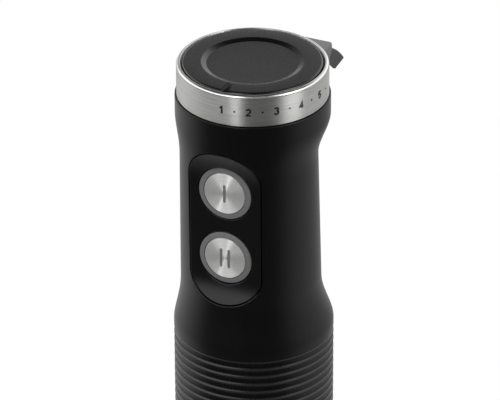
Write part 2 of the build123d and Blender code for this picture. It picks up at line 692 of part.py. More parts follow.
# Stator: a round yoke with two poles that face each other across the armature
with BuildPart() as stator_core:
    with BuildSketch(level(STATOR_BASE)):
        Circle(MOTOR_RADIUS)
        Circle(MOTOR_RADIUS - YOKE_WALL, mode=Mode.SUBTRACT)
        with PolarLocations(0, 2):
            add(wedge(POLE_ANGLE, MOTOR_RADIUS))
        Circle(STATOR_BORE, mode=Mode.SUBTRACT)
        with PolarLocations(MOTOR_SCREW_SPREAD, 2):
            Circle(MOTOR_SCREW_RADIUS + SEAT_GAP, mode=Mode.SUBTRACT)
    extrude(amount=STATOR_HEIGHT)
stator_core.part.label = "stator_core"
export_step(stator_core.part, "parts/stator_core.step")

# Field coils: one saddle round each pole
for turn, coil_name in ((0, "field_coil_back"), (180, "field_coil_front")):
    with BuildPart() as field_coil:
        with BuildSketch(level(STATOR_BASE - COIL_OVERHANG)):
            add(wedge(COIL_ANGLE, MOTOR_RADIUS - YOKE_WALL - SLIDE_GAP), rotation=turn)
            Circle(STATOR_BORE + AIR_GAP, mode=Mode.SUBTRACT)
        extrude(amount=STATOR_HEIGHT + 2 * COIL_OVERHANG)
        with BuildSketch(level(STATOR_BASE - SLIDE_GAP)):
            add(wedge(POLE_ANGLE + COIL_MARGIN, MOTOR_RADIUS), rotation=turn)
        extrude(amount=STATOR_HEIGHT + 2 * SLIDE_GAP, mode=Mode.SUBTRACT)
    field_coil.part.label = coil_name
    export_step(field_coil.part, f"parts/{coil_name}.step")

# Upper motor bracket: windowed wall, bearing seat and pads for the brush holders
COMMUTATOR_BASE = STATOR_TOP + COIL_OVERHANG
BRUSH_LEVEL = COMMUTATOR_BASE + COMMUTATOR_HEIGHT / 2
HOLDER_WIDTH = BRUSH_WIDTH + 2 * (HOLDER_WALL + SEAT_GAP)
HOLDER_HEIGHT = BRUSH_HEIGHT + 2 * (HOLDER_WALL + SEAT_GAP)
HOLDER_INNER = COMMUTATOR_RADIUS + HOLDER_STANDOFF
HOLDER_OUTER = MOTOR_RADIUS - BRACKET_WALL - SLIDE_GAP
PLATE_BASE = BRACKET_TOP - BRACKET_PLATE
PAD_BASE = BRUSH_LEVEL + HOLDER_HEIGHT / 2
UPPER_SEAT = BRACKET_TOP - BEARING_HEIGHT
with BuildPart() as upper_bracket:
    with BuildSketch(level(STATOR_TOP)):
        Circle(MOTOR_RADIUS)
        Circle(MOTOR_RADIUS - BRACKET_WALL, mode=Mode.SUBTRACT)
    extrude(amount=UPPER_CHAMBER)
    with BuildSketch(level(STATOR_TOP + BRACKET_PLATE)):
        with PolarLocations(MOTOR_RADIUS, WINDOW_COUNT, start_angle=WINDOW_TURN):
            Rectangle(MOTOR_RADIUS, WINDOW_WIDTH)
    extrude(amount=UPPER_CHAMBER - 2 * BRACKET_PLATE, mode=Mode.SUBTRACT)
    with BuildSketch(level(PLATE_BASE)):
        Circle(MOTOR_RADIUS)
    extrude(amount=BRACKET_PLATE)
    with BuildSketch(level(UPPER_SEAT - SEAT_LIP)):
        Circle(UPPER_BEARING_RADIUS + BEARING_SEAT_WALL)
    extrude(amount=BEARING_HEIGHT + SEAT_LIP)
    with BuildSketch(level(PAD_BASE)):
        with PolarLocations((HOLDER_INNER + HOLDER_OUTER) / 2, 2):
            Rectangle(HOLDER_OUTER - HOLDER_INNER, HOLDER_WIDTH)
    extrude(amount=PLATE_BASE - PAD_BASE)
    with BuildSketch(level(UPPER_SEAT)):
        Circle(UPPER_BEARING_RADIUS + SEAT_GAP)
    extrude(amount=BEARING_HEIGHT, mode=Mode.SUBTRACT)
    with BuildSketch(level(STATOR_TOP)):
        Circle(SHAFT_RADIUS + 2 * SLIDE_GAP)
        with PolarLocations(MOTOR_SCREW_SPREAD, 2):
            Circle(MOTOR_SCREW_RADIUS + SEAT_GAP)
    extrude(amount=BRACKET_TOP - STATOR_TOP, mode=Mode.SUBTRACT)
upper_bracket.part.label = "upper_bracket"
export_step(upper_bracket.part, "parts/upper_bracket.step")

# Through screws that clamp the brackets on the stator
with BuildPart(level(BRACKET_BASE + SCREW_BITE)) as motor_screws:
    with PolarLocations(MOTOR_SCREW_SPREAD, 2):
        Cylinder(MOTOR_SCREW_RADIUS, BRACKET_TOP - BRACKET_BASE - SCREW_BITE, align=STANDING)
    with Locations((0, 0, BRACKET_TOP - BRACKET_BASE - SCREW_BITE)):
        with PolarLocations(MOTOR_SCREW_SPREAD, 2):
            Cylinder(SCREW_HEAD_RADIUS, SCREW_HEAD_HEIGHT, align=STANDING)
motor_screws.part.label = "motor_screws"
export_step(motor_screws.part, "parts/motor_screws.step")

# Motor bearings, with the gap between their races
BEARINGS = {
    "lower_bearing": (BRACKET_BASE + SEAT_LIP, LOWER_BEARING_RADIUS),
    "upper_bearing": (UPPER_SEAT, UPPER_BEARING_RADIUS),
}
for bearing_name, (seat, radius) in BEARINGS.items():
    race_gap = (SHAFT_RADIUS + radius) / 2
    with BuildPart() as bearing:
        with BuildSketch(level(seat)):
            Circle(radius)
            Circle(SHAFT_RADIUS + BEARING_PLAY, mode=Mode.SUBTRACT)
        extrude(amount=BEARING_HEIGHT)
        with BuildSketch(level(seat), level(seat + BEARING_HEIGHT - RACE_DEPTH)):
            Circle(race_gap + RACE_GAP / 2)
            Circle(race_gap - RACE_GAP / 2, mode=Mode.SUBTRACT)
        extrude(amount=RACE_DEPTH, mode=Mode.SUBTRACT)
    bearing.part.label = bearing_name
    export_step(bearing.part, f"parts/{bearing_name}.step")

# Brush holders and carbon brushes, one pair across the commutator
for side, side_name in ((-1, "left"), (1, "right")):
    with BuildPart() as brush_holder:
        with BuildSketch(facing_side(HOLDER_INNER, BRUSH_LEVEL, side)):
            Rectangle(HOLDER_WIDTH, HOLDER_HEIGHT)
        extrude(amount=HOLDER_OUTER - HOLDER_INNER)
        with BuildSketch(facing_side(HOLDER_INNER, BRUSH_LEVEL, side)):
            Rectangle(BRUSH_WIDTH + 2 * SEAT_GAP, BRUSH_HEIGHT + 2 * SEAT_GAP)
        extrude(amount=HOLDER_OUTER - HOLDER_INNER - HOLDER_WALL, mode=Mode.SUBTRACT)
    brush_holder.part.label = f"brush_holder_{side_name}"
    export_step(brush_holder.part, f"parts/brush_holder_{side_name}.step")

    with BuildPart() as carbon_brush:
        with BuildSketch(facing_side(0, BRUSH_LEVEL, side)):
            Rectangle(BRUSH_WIDTH, BRUSH_HEIGHT)
        extrude(amount=COMMUTATOR_RADIUS + BRUSH_LENGTH)
        with BuildSketch(level(COMMUTATOR_BASE)):
            Circle(COMMUTATOR_RADIUS + RUNNING_PLAY)
        extrude(amount=COMMUTATOR_HEIGHT, mode=Mode.SUBTRACT)
    carbon_brush.part.label = f"carbon_brush_{side_name}"
    export_step(carbon_brush.part, f"parts/carbon_brush_{side_name}.step")

# Rubber damper between the motor and the shelf in the handle
with BuildPart() as upper_damper:
    with BuildSketch(level(BRACKET_TOP)):
        Circle(DAMPER_OUTER)
        Circle(DAMPER_INNER, mode=Mode.SUBTRACT)
    extrude(amount=DAMPER_HEIGHT)
upper_damper.part.label = "upper_damper"
export_step(upper_damper.part, "parts/upper_damper.step")

# Motor shaft from the drive coupling to the upper bearing
DRIVE_TOP = COUPLING_TOP + COUPLING_STEM
with BuildPart(level(DRIVE_TOP - COUPLING_GRIP)) as motor_shaft:
    Cylinder(SHAFT_RADIUS, BRACKET_TOP - DRIVE_TOP + COUPLING_GRIP, align=STANDING)
motor_shaft.part.label = "motor_shaft"
export_step(motor_shaft.part, "parts/motor_shaft.step")

# Male drive coupling on the foot of the motor shaft
with BuildPart() as drive_coupling:
    with BuildSketch(level(COUPLING_TOP - COUPLING_ENGAGE + SLIDE_GAP)):
        add(coupling_star(0))
    extrude(amount=COUPLING_ENGAGE - SLIDE_GAP)
    with BuildSketch(level(COUPLING_TOP)):
        Circle(COUPLING_HUB_RADIUS)
    extrude(amount=COUPLING_STEM)
    with BuildSketch(level(DRIVE_TOP - COUPLING_GRIP)):
        Circle(SHAFT_RADIUS + SEAT_GAP)
    extrude(amount=COUPLING_GRIP, mode=Mode.SUBTRACT)
drive_coupling.part.label = "drive_coupling"
export_step(drive_coupling.part, "parts/drive_coupling.step")

# Cooling fan under the stator
FAN_BASE = BRACKET_BASE + SEAT_LIP + BEARING_HEIGHT + 2 * SLIDE_GAP
with BuildPart() as cooling_fan:
    with BuildSketch(level(FAN_BASE)):
        Circle(FAN_RADIUS)
    extrude(amount=FAN_DISC)
    with BuildSketch(level(FAN_BASE)):
        Circle(FAN_HUB_RADIUS)
        with PolarLocations((FAN_EYE + FAN_RADIUS) / 2, FAN_BLADES):
            Rectangle(FAN_RADIUS - FAN_EYE, FAN_BLADE_THICKNESS)
    extrude(amount=FAN_HEIGHT)
    with BuildSketch(level(FAN_BASE)):
        Circle(SHAFT_RADIUS + SEAT_GAP)
    extrude(amount=FAN_HEIGHT, mode=Mode.SUBTRACT)
cooling_fan.part.label = "cooling_fan"
export_step(cooling_fan.part, "parts/cooling_fan.step")

# Armature core with its winding slots
ARMATURE_RADIUS = STATOR_BORE - AIR_GAP
with BuildPart() as armature_core:
    with BuildSketch(level(STATOR_BASE)):
        Circle(ARMATURE_RADIUS)
        Circle(SHAFT_RADIUS + SEAT_GAP, mode=Mode.SUBTRACT)
        with PolarLocations(ARMATURE_RADIUS, ARMATURE_SLOTS):
            Rectangle(2 * ARMATURE_SLOT_DEPTH, ARMATURE_SLOT_WIDTH, mode=Mode.SUBTRACT)
    extrude(amount=STATOR_HEIGHT)
armature_core.part.label = "armature_core"
export_step(armature_core.part, "parts/armature_core.step")

# Armature windings: the end turns above and below the core
with BuildPart() as armature_windings:
    with BuildSketch(level(STATOR_BASE - WINDING_HEIGHT), level(STATOR_TOP)):
        Circle(WINDING_RADIUS)
        Circle(SHAFT_RADIUS + WINDING_STANDOFF, mode=Mode.SUBTRACT)
    extrude(amount=WINDING_HEIGHT)
    rims = armature_windings.edges().filter_by(GeomType.CIRCLE).group_by(SortBy.RADIUS)[-1]
    fillet([rims.sort_by(Axis.Z)[0], rims.sort_by(Axis.Z)[-1]], WINDING_ROUND)
armature_windings.part.label = "armature_windings"
export_step(armature_windings.part, "parts/armature_windings.step")

# Commutator with slits between its bars
with BuildPart() as commutator:
    with BuildSketch(level(COMMUTATOR_BASE)):
        Circle(COMMUTATOR_RADIUS)
        Circle(SHAFT_RADIUS + SEAT_GAP, mode=Mode.SUBTRACT)
        with PolarLocations(COMMUTATOR_RADIUS, COMMUTATOR_BARS):
            Rectangle(COMMUTATOR_SLIT_DEPTH * 2, COMMUTATOR_SLIT, mode=Mode.SUBTRACT)
    extrude(amount=COMMUTATOR_HEIGHT)
commutator.part.label = "commutator"
export_step(commutator.part, "parts/commutator.step")


def ease(share):
    """Smooth step from 0 to 1 with level ends."""
    return share * share * (3 - 2 * share)


def handle_section(height):
    """Radius of the handle's round section at a height, and its shift towards the front."""
    if height <= FLARE_BASE:
        return GRIP_RADIUS, 0
    if height < NECK_BASE:
        share = ease(((height - FLARE_BASE) / FLARE_HEIGHT) ** FLARE_BIAS)
        return GRIP_RADIUS + (NECK_BASE_RADIUS - GRIP_RADIUS) * share, NECK_BASE_SHIFT * share
    if height < NECK_TOP:
        share = (height - NECK_BASE) / NECK_LENGTH
        radius = NECK_BASE_RADIUS + (NECK_TOP_RADIUS - NECK_BASE_RADIUS) * share
        return radius, NECK_BASE_SHIFT + (NECK_TOP_SHIFT - NECK_BASE_SHIFT) * share
    share = ease(min(1, (height - NECK_TOP) / SHOULDER_HEIGHT) ** SHOULDER_BIAS)
    return NECK_TOP_RADIUS + (COLLAR_RADIUS - NECK_TOP_RADIUS) * share, NECK_TOP_SHIFT * (1 - share)


def handle_form(base, inset):
    """Lofts of the handle, stretch by stretch, drawn in by an inset. Bends take several sections."""
    stretches = (
        (base, FLARE_BASE, 1),
        (FLARE_BASE, NECK_BASE, BEND_COUNT),
        (NECK_BASE, NECK_TOP, 1),
        (NECK_TOP, COLLAR_BASE, BEND_COUNT),
        (COLLAR_BASE, COLLAR_TOP, 1),
    )
    with BuildPart() as form:
        for start, end, steps in stretches:
            if start == end:
                continue
            for step in range(steps + 1):
                height = start + (end - start) * step / steps
                radius, shift = handle_section(height)
                with BuildSketch(level(height)):
                    with Locations((0, -shift)):
                        Circle(radius - inset)
            loft()
    return form.part


def facet_front(depth):
    """All that lies in front of the facet surface, pushed into the handle by a depth."""
    flat_base = NECK_BASE + FACET_BASE
    flat_top = flat_base + FACET_LENGTH
    far = FACET_DISTANCE + FACET_TOP_BEND + FACET_BASE_BEND
    with BuildPart() as front:
        with BuildSketch(Plane.YZ):
            with BuildLine():
                top_bend = CenterArc(
                    (-FACET_DISTANCE - FACET_TOP_BEND, flat_top),
                    FACET_TOP_BEND + depth,
                    0,
                    FACET_SWEEP,
                )
                base_bend = CenterArc(
                    (-FACET_DISTANCE - FACET_BASE_BEND, flat_base),
                    FACET_BASE_BEND + depth,
                    0,
                    -FACET_SWEEP,
                )
                Line(base_bend @ 0, top_bend @ 0)
                Polyline(
                    top_bend @ 1,
                    (-far, (top_bend @ 1).Y),
                    (-far, (base_bend @ 1).Y),
                    base_bend @ 1,
                )
            make_face()
        extrude(amount=far, both=True)
    return front.part


def panel_prism(growth):
    """Outline of the button panel, grown by a clearance and carried straight through the front."""
    base = FLARE_BASE + PANEL_BASE
    base_centre = base + PANEL_BASE_END
    top_centre = base + PANEL_LENGTH - PANEL_TOP_END
    half_width = PANEL_WIDTH / 2 + growth
    with BuildPart() as prism:
        with BuildSketch(Plane.XZ):
            with Locations((0, base_centre)):
                Ellipse(half_width, PANEL_BASE_END + growth)
            with Locations((0, top_centre)):
                Ellipse(half_width, PANEL_TOP_END + growth)
            with Locations((0, (base_centre + top_centre) / 2)):
                Rectangle(2 * half_width, top_centre - base_centre)
        extrude(amount=2 * GRIP_RADIUS)
    return prism.part


# Places behind the facet, measured from the drive axis towards the front
WALL_FRONT = FACET_DISTANCE - PANEL_THICKNESS
WALL_BACK = WALL_FRONT - FACET_WALL
FLANGE_BACK = WALL_BACK - SEAT_GAP - BUTTON_FLANGE_THICKNESS
BOARD_FRONT = FLANGE_BACK - SLIDE_GAP - MEMBRANE_DOME_HEIGHT - MEMBRANE_SHEET
BUTTON_CENTRE = NECK_BASE + BUTTON_MID
BUTTON_HEIGHTS = {1: BUTTON_CENTRE + BUTTON_SPACING / 2, 2: BUTTON_CENTRE - BUTTON_SPACING / 2}
CONTROL_LEVEL = NECK_BASE + CONTROL_BASE
SPIGOT_LEVEL = COLLAR_TOP - HOOD_SPIGOT_DROP

outer_form = handle_form(GRIP_TOP, 0)
hood_seat = handle_form(GRIP_TOP, -SEAT_GAP)
inner_form = handle_form(FLARE_BASE, SHELL_WALL)
facet_cut = facet_front(0)
panel_back_cut = facet_front(PANEL_THICKNESS - SEAT_GAP)
pocket_cut = facet_front(PANEL_THICKNESS)
wall_back_cut = facet_front(PANEL_THICKNESS + FACET_WALL)

# Hollow of the neck: leaves the facet wall, the motor shelf, the deck ledge, posts and rails standing
with BuildPart() as neck_hollow:
    add(inner_form)
    add(wall_back_cut, mode=Mode.SUBTRACT)
    with BuildSketch(level(SHELF_BASE)):
        Circle(GRIP_RADIUS)
        Circle(SHELF_BORE, mode=Mode.SUBTRACT)
    extrude(amount=SHELF_HEIGHT, mode=Mode.SUBTRACT)
    with BuildSketch(level(COLLAR_BASE - LEDGE_HEIGHT)):
        Circle(GRIP_RADIUS)
        Circle(COLLAR_RADIUS - SHELL_WALL - LEDGE_WIDTH, mode=Mode.SUBTRACT)
    extrude(amount=LEDGE_HEIGHT, mode=Mode.SUBTRACT)
    with BuildSketch(facing_front(BOARD_FRONT, BUTTON_CENTRE)):
        with GridLocations(2 * POST_SPREAD, 0, 2, 1):
            Circle(POST_RADIUS)
    extrude(amount=WALL_FRONT - BOARD_FRONT, mode=Mode.SUBTRACT)
    with BuildSketch(level(CONTROL_LEVEL - RAIL_BITE)):
        with Locations((0, CONTROL_DEPTH + BOARD_THICKNESS / 2)):
            Rectangle(2 * GRIP_RADIUS, RAIL_HEIGHT)
            Rectangle(CONTROL_WIDTH - 2 * RAIL_BITE, RAIL_HEIGHT, mode=Mode.SUBTRACT)
    extrude(amount=CONTROL_LENGTH + RAIL_BITE, mode=Mode.SUBTRACT)

# Pocket in the front of the neck that takes the button panel
with BuildPart() as panel_pocket:
    add(panel_prism(PANEL_GROOVE))
    add(pocket_cut, mode=Mode.INTERSECT)

# Handle shell: one hollow moulding from the grip to the collar
with BuildPart() as handle_shell:
    with BuildSketch(level(BASE_TOP)):
        Circle(SHELL_RADIUS)
    extrude(amount=GRIP_LENGTH)
    add(outer_form)
    with BuildSketch(level(BASE_TOP)):
        Circle(SHELL_BORE)
    extrude(amount=FLARE_BASE - BASE_TOP, mode=Mode.SUBTRACT)
    add(neck_hollow.part, mode=Mode.SUBTRACT)
    add(facet_cut, mode=Mode.SUBTRACT)
    add(panel_pocket.part, mode=Mode.SUBTRACT)
    for height in BUTTON_HEIGHTS.values():
        with BuildSketch(facing_front(0, height)):
            Circle(BUTTON_STEM_RADIUS + BUTTON_GAP)
        extrude(amount=FACET_DISTANCE, mode=Mode.SUBTRACT)
        with BuildSketch(facing_front(WALL_FRONT - SEAT_GAP, height)):
            Circle(BUTTON_RADIUS + BUTTON_GAP)
        extrude(amount=PANEL_THICKNESS, mode=Mode.SUBTRACT)
    with BuildSketch(facing_front(BOARD_FRONT, BUTTON_CENTRE)):
        with GridLocations(2 * POST_SPREAD, 0, 2, 1):
            Circle(BOARD_SCREW_RADIUS + SEAT_GAP)
    extrude(amount=BOARD_SCREW_LENGTH, mode=Mode.SUBTRACT)
    with BuildSketch(level(CONTROL_LEVEL)):
        with Locations((0, CONTROL_DEPTH + BOARD_THICKNESS / 2)):
            Rectangle(CONTROL_WIDTH + 2 * SEAT_GAP, BOARD_THICKNESS + 2 * SEAT_GAP)
    extrude(amount=CONTROL_LENGTH, mode=Mode.SUBTRACT)
    with BuildSketch(facing_front(0, SPIGOT_LEVEL)):
        Circle(HOOD_SPIGOT_RADIUS + SEAT_GAP)
    extrude(amount=-GRIP_RADIUS, mode=Mode.SUBTRACT)
handle_shell.part.label = "handle_shell"
export_step(handle_shell.part, "parts/handle_shell.step")

# Grip sleeve: soft ring-fluted skin in the recess of the shell
FLUTE_BASE = GRIP_TOP - FLUTE_COUNT * FLUTE_PITCH
FLUTE_ROUND = (FLUTE_PITCH * FLUTE_PITCH / 4 + FLUTE_DEPTH * FLUTE_DEPTH) / (2 * FLUTE_DEPTH)
with BuildPart() as grip_sleeve:
    with BuildSketch(Plane.XZ):
        with BuildLine():
            Polyline(
                (GRIP_RADIUS, GRIP_TOP),
                (SHELL_RADIUS + SEAT_GAP, GRIP_TOP),
                (SHELL_RADIUS + SEAT_GAP, BASE_TOP),
                (GRIP_RADIUS, BASE_TOP),
                (GRIP_RADIUS, FLUTE_BASE),
            )
            for flute in range(FLUTE_COUNT):
                foot = FLUTE_BASE + flute * FLUTE_PITCH
                RadiusArc((GRIP_RADIUS, foot), (GRIP_RADIUS, foot + FLUTE_PITCH), FLUTE_ROUND)
        make_face()
    revolve(axis=Axis.Z)
grip_sleeve.part.label = "grip_sleeve"
export_step(grip_sleeve.part, "parts/grip_sleeve.step")

# Button panel: a plate that follows the facet, with a hole for each button
with BuildPart() as button_panel:
    add(panel_prism(0))
    add(panel_back_cut, mode=Mode.INTERSECT)
    add(facet_cut, mode=Mode.SUBTRACT)
    for height in BUTTON_HEIGHTS.values():
        with BuildSketch(facing_front(0, height)):
            Circle(BUTTON_RADIUS + BUTTON_GAP)
        extrude(amount=GRIP_RADIUS, mode=Mode.SUBTRACT)
button_panel.part.label = "button_panel"
export_step(button_panel.part, "parts/button_panel.step")

# Push buttons: a plunger with a chamfered bezel and an inset metal face
FACE_FRONT = FACET_DISTANCE + BUTTON_PROUD
FACE_SEAT = FACE_FRONT - BUTTON_FACE_THICKNESS
HEAD_BACK = WALL_FRONT + BUTTON_TRAVEL + SLIDE_GAP
FACE_RECESS = BUTTON_FACE_RADIUS + BUTTON_FACE_GAP
for number, height in BUTTON_HEIGHTS.items():
    with BuildPart() as button:
        with BuildSketch(level(height)):
            with BuildLine():
                Polyline(
                    (0, -FLANGE_BACK),
                    (BUTTON_STEM_RADIUS + BUTTON_FLANGE, -FLANGE_BACK),
                    (BUTTON_STEM_RADIUS + BUTTON_FLANGE, -FLANGE_BACK - BUTTON_FLANGE_THICKNESS),
                    (BUTTON_STEM_RADIUS, -FLANGE_BACK - BUTTON_FLANGE_THICKNESS),
                    (BUTTON_STEM_RADIUS, -HEAD_BACK),
                    (BUTTON_RADIUS, -HEAD_BACK),
                    (BUTTON_RADIUS, -FACE_FRONT + BUTTON_CHAMFER),
                    (FACE_RECESS + BUTTON_RIM, -FACE_FRONT),
                    (FACE_RECESS, -FACE_FRONT),
                    (FACE_RECESS, -FACE_SEAT),
                    (0, -FACE_SEAT),
                    close=True,
                )
            make_face()
        revolve(axis=Axis((0, 0, height), (0, 1, 0)))
    button.part.label = f"button_{number}"
    export_step(button.part, f"parts/button_{number}.step")

    with BuildPart() as button_face:
        with BuildSketch(facing_front(FACE_SEAT, height)):
            Circle(BUTTON_FACE_RADIUS)
        extrude(amount=BUTTON_FACE_THICKNESS)
        fillet(button_face.faces().sort_by(Axis.Y)[0].edges(), BUTTON_RIM)
    button_face.part.label = f"button_{number}_face"
    export_step(button_face.part, f"parts/button_{number}_face.step")

# Tactile switches on the switch board, one behind each button
for number, height in BUTTON_HEIGHTS.items():
    with BuildPart() as tact_switch:
        with BuildSketch(facing_front(BOARD_FRONT, height)):
            Rectangle(SWITCH_SIZE, SWITCH_SIZE)
        extrude(amount=SWITCH_HEIGHT)
        with BuildSketch(facing_front(BOARD_FRONT + SWITCH_HEIGHT, height)):
            Circle(SWITCH_TIP_RADIUS)
        extrude(amount=SWITCH_TIP_HEIGHT)
    tact_switch.part.label = f"tact_switch_{number}"
    export_step(tact_switch.part, f"parts/tact_switch_{number}.step")

# Rubber membrane with a spring dome over each switch
with BuildPart() as switch_membrane:
    with BuildSketch(facing_front(BOARD_FRONT, BUTTON_CENTRE)):
        RectangleRounded(MEMBRANE_WIDTH, BUTTON_SPACING + 2 * MEMBRANE_END, MEMBRANE_CORNER)
    extrude(amount=MEMBRANE_SHEET)
    for height in BUTTON_HEIGHTS.values():
        with BuildSketch(level(height)):
            with BuildLine():
                dome_base = BOARD_FRONT + MEMBRANE_SHEET
                dome_top = dome_base + MEMBRANE_DOME_HEIGHT
                Polyline(
                    (0, -dome_base),
                    (MEMBRANE_DOME_RADIUS, -dome_base),
                    (MEMBRANE_DOME_TOP, -dome_top),
                    (0, -dome_top),
                    close=True,
                )
            make_face()
        revolve(axis=Axis((0, 0, height), (0, 1, 0)))
        with BuildSketch(level(height)):
            with BuildLine():
                Polyline(
                    (0, -BOARD_FRONT),
                    (MEMBRANE_DOME_RADIUS - MEMBRANE_WALL, -BOARD_FRONT),
                    (MEMBRANE_DOME_TOP - MEMBRANE_WALL, -dome_top + MEMBRANE_WALL),
                    (0, -dome_top + MEMBRANE_WALL),
                    close=True,
                )
            make_face()
        revolve(axis=Axis((0, 0, height), (0, 1, 0)), mode=Mode.SUBTRACT)
switch_membrane.part.label = "switch_membrane"
export_step(switch_membrane.part, "parts/switch_membrane.step")

# Switch board on its two posts
with BuildPart() as switch_board:
    with BuildSketch(facing_front(BOARD_FRONT - BOARD_THICKNESS, BUTTON_CENTRE)):
        Rectangle(SWITCH_BOARD_WIDTH, BUTTON_SPACING + 2 * SWITCH_BOARD_END)
        with GridLocations(2 * POST_SPREAD, 0, 2, 1):
            Circle(BOARD_SCREW_RADIUS + SEAT_GAP, mode=Mode.SUBTRACT)
    extrude(amount=BOARD_THICKNESS)
switch_board.part.label = "switch_board"
export_step(switch_board.part, "parts/switch_board.step")

# Screws that hold the switch board on the posts
with BuildPart() as board_screws:
    with BuildSketch(facing_front(BOARD_FRONT - BOARD_THICKNESS - SCREW_HEAD_HEIGHT, BUTTON_CENTRE)):
        with GridLocations(2 * POST_SPREAD, 0, 2, 1):
            Circle(BOARD_SCREW_HEAD)
    extrude(amount=SCREW_HEAD_HEIGHT)
    with BuildSketch(facing_front(BOARD_FRONT - BOARD_THICKNESS, BUTTON_CENTRE)):
        with GridLocations(2 * POST_SPREAD, 0, 2, 1):
            Circle(BOARD_SCREW_RADIUS)
    extrude(amount=BOARD_SCREW_LENGTH)
board_screws.part.label = "board_screws"
export_step(board_screws.part, "parts/board_screws.step")

# Control board in its rails
with BuildPart() as control_board:
    with BuildSketch(level(CONTROL_LEVEL)):
        with Locations((0, CONTROL_DEPTH + BOARD_THICKNESS / 2)):
            Rectangle(CONTROL_WIDTH, BOARD_THICKNESS)
    extrude(amount=CONTROL_LENGTH)
control_board.part.label = "control_board"
export_step(control_board.part, "parts/control_board.step")

# Finned heatsink of the motor control, on the back of the control board
HEATSINK_BASE = CONTROL_LEVEL + (CONTROL_LENGTH - HEATSINK_LENGTH) / 2
HEATSINK_BACK = CONTROL_DEPTH + BOARD_THICKNESS
with BuildPart() as triac_heatsink:
    with BuildSketch(level(HEATSINK_BASE)):
        with Locations((0, HEATSINK_BACK + HEATSINK_PLATE / 2)):
            Rectangle(HEATSINK_WIDTH, HEATSINK_PLATE)
        with Locations((0, HEATSINK_BACK + HEATSINK_DEPTH / 2)):
            with GridLocations((HEATSINK_WIDTH - HEATSINK_FIN) / (HEATSINK_FINS - 1), 0, HEATSINK_FINS, 1):
                Rectangle(HEATSINK_FIN, HEATSINK_DEPTH)
    extrude(amount=HEATSINK_LENGTH)
triac_heatsink.part.label = "triac_heatsink"
export_step(triac_heatsink.part, "parts/triac_heatsink.step")

# Interference capacitor on the front of the control board
with BuildPart() as suppressor_capacitor:
    with BuildSketch(level(CONTROL_LEVEL + CAPACITOR_DROP)):
        with Locations((0, CONTROL_DEPTH - CAPACITOR_DEPTH / 2)):
            Rectangle(CAPACITOR_WIDTH, CAPACITOR_DEPTH)
    extrude(amount=CAPACITOR_LENGTH)
suppressor_capacitor.part.label = "suppressor_capacitor"
export_step(suppressor_capacitor.part, "parts/suppressor_capacitor.step")

# Top deck: closes the shell and carries the journal that the ring turns on
DECK_TOP = COLLAR_BASE + DECK_THICKNESS
CAP_SEAT = CAP_TOP - CAP_EDGE
COLLAR_BORE = COLLAR_RADIUS - SHELL_WALL
with BuildPart() as top_deck:
    with BuildSketch(level(COLLAR_BASE)):
        Circle(COLLAR_BORE - SEAT_GAP)
    extrude(amount=DECK_THICKNESS)
    with BuildSketch(level(DECK_TOP)):
        Circle(JOURNAL_RADIUS)
        Circle(JOURNAL_RADIUS - JOURNAL_WALL, mode=Mode.SUBTRACT)
    extrude(amount=CAP_SEAT - DECK_TOP)
top_deck.part.label = "top_deck"
export_step(top_deck.part, "parts/top_deck.step")

# Speed board: ring-shaped track round the journal
TRACK_TOP = DECK_TOP + TRACK_THICKNESS
with BuildPart() as speed_board:
    with BuildSketch(level(DECK_TOP)):
        Circle(COLLAR_BORE - SEAT_GAP)
        Circle(JOURNAL_RADIUS + SEAT_GAP, mode=Mode.SUBTRACT)
    extrude(amount=TRACK_THICKNESS)
speed_board.part.label = "speed_board"
export_step(speed_board.part, "parts/speed_board.step")

# Ring carrier: turns on the journal, inside the metal ring
CARRIER_BASE = TRACK_TOP + WIPER_GAP + WIPER_HEIGHT
CARRIER_TOP = CAP_SEAT - SLIDE_GAP
SKIRT_RADIUS = COLLAR_BORE - SLIDE_GAP
with BuildPart() as ring_carrier:
    with BuildSketch(level(RING_BASE)):
        Circle(RING_RADIUS - RING_WALL - SEAT_GAP)
    extrude(amount=CARRIER_TOP - RING_BASE)
    with BuildSketch(level(CARRIER_BASE)):
        Circle(SKIRT_RADIUS)
    extrude(amount=RING_BASE - CARRIER_BASE)
    with BuildSketch(level(CARRIER_BASE)):
        Circle(JOURNAL_RADIUS + RUNNING_PLAY)
    extrude(amount=CARRIER_TOP - CARRIER_BASE, mode=Mode.SUBTRACT)
ring_carrier.part.label = "ring_carrier"
export_step(ring_carrier.part, "parts/ring_carrier.step")

# Wiper under the carrier, which sweeps the track
with BuildPart() as ring_wiper:
    with BuildSketch(level(TRACK_TOP + WIPER_GAP)):
        add(wedge(WIPER_ANGLE, SKIRT_RADIUS - WIPER_INSET))
        Circle(JOURNAL_RADIUS + WIPER_INSET, mode=Mode.SUBTRACT)
    extrude(amount=WIPER_HEIGHT)
ring_wiper.part.label = "ring_wiper"
export_step(ring_wiper.part, "parts/ring_wiper.step")

# Speed ring: brushed metal band with a rounded top edge
with BuildPart() as speed_ring:
    with BuildSketch(level(RING_BASE)):
        Circle(RING_RADIUS)
        Circle(RING_RADIUS - RING_WALL, mode=Mode.SUBTRACT)
    extrude(amount=RING_HEIGHT)
    fillet(speed_ring.faces().sort_by(Axis.Z)[-1].edges(), RING_EDGE)
speed_ring.part.label = "speed_ring"
export_step(speed_ring.part, "parts/speed_ring.step")

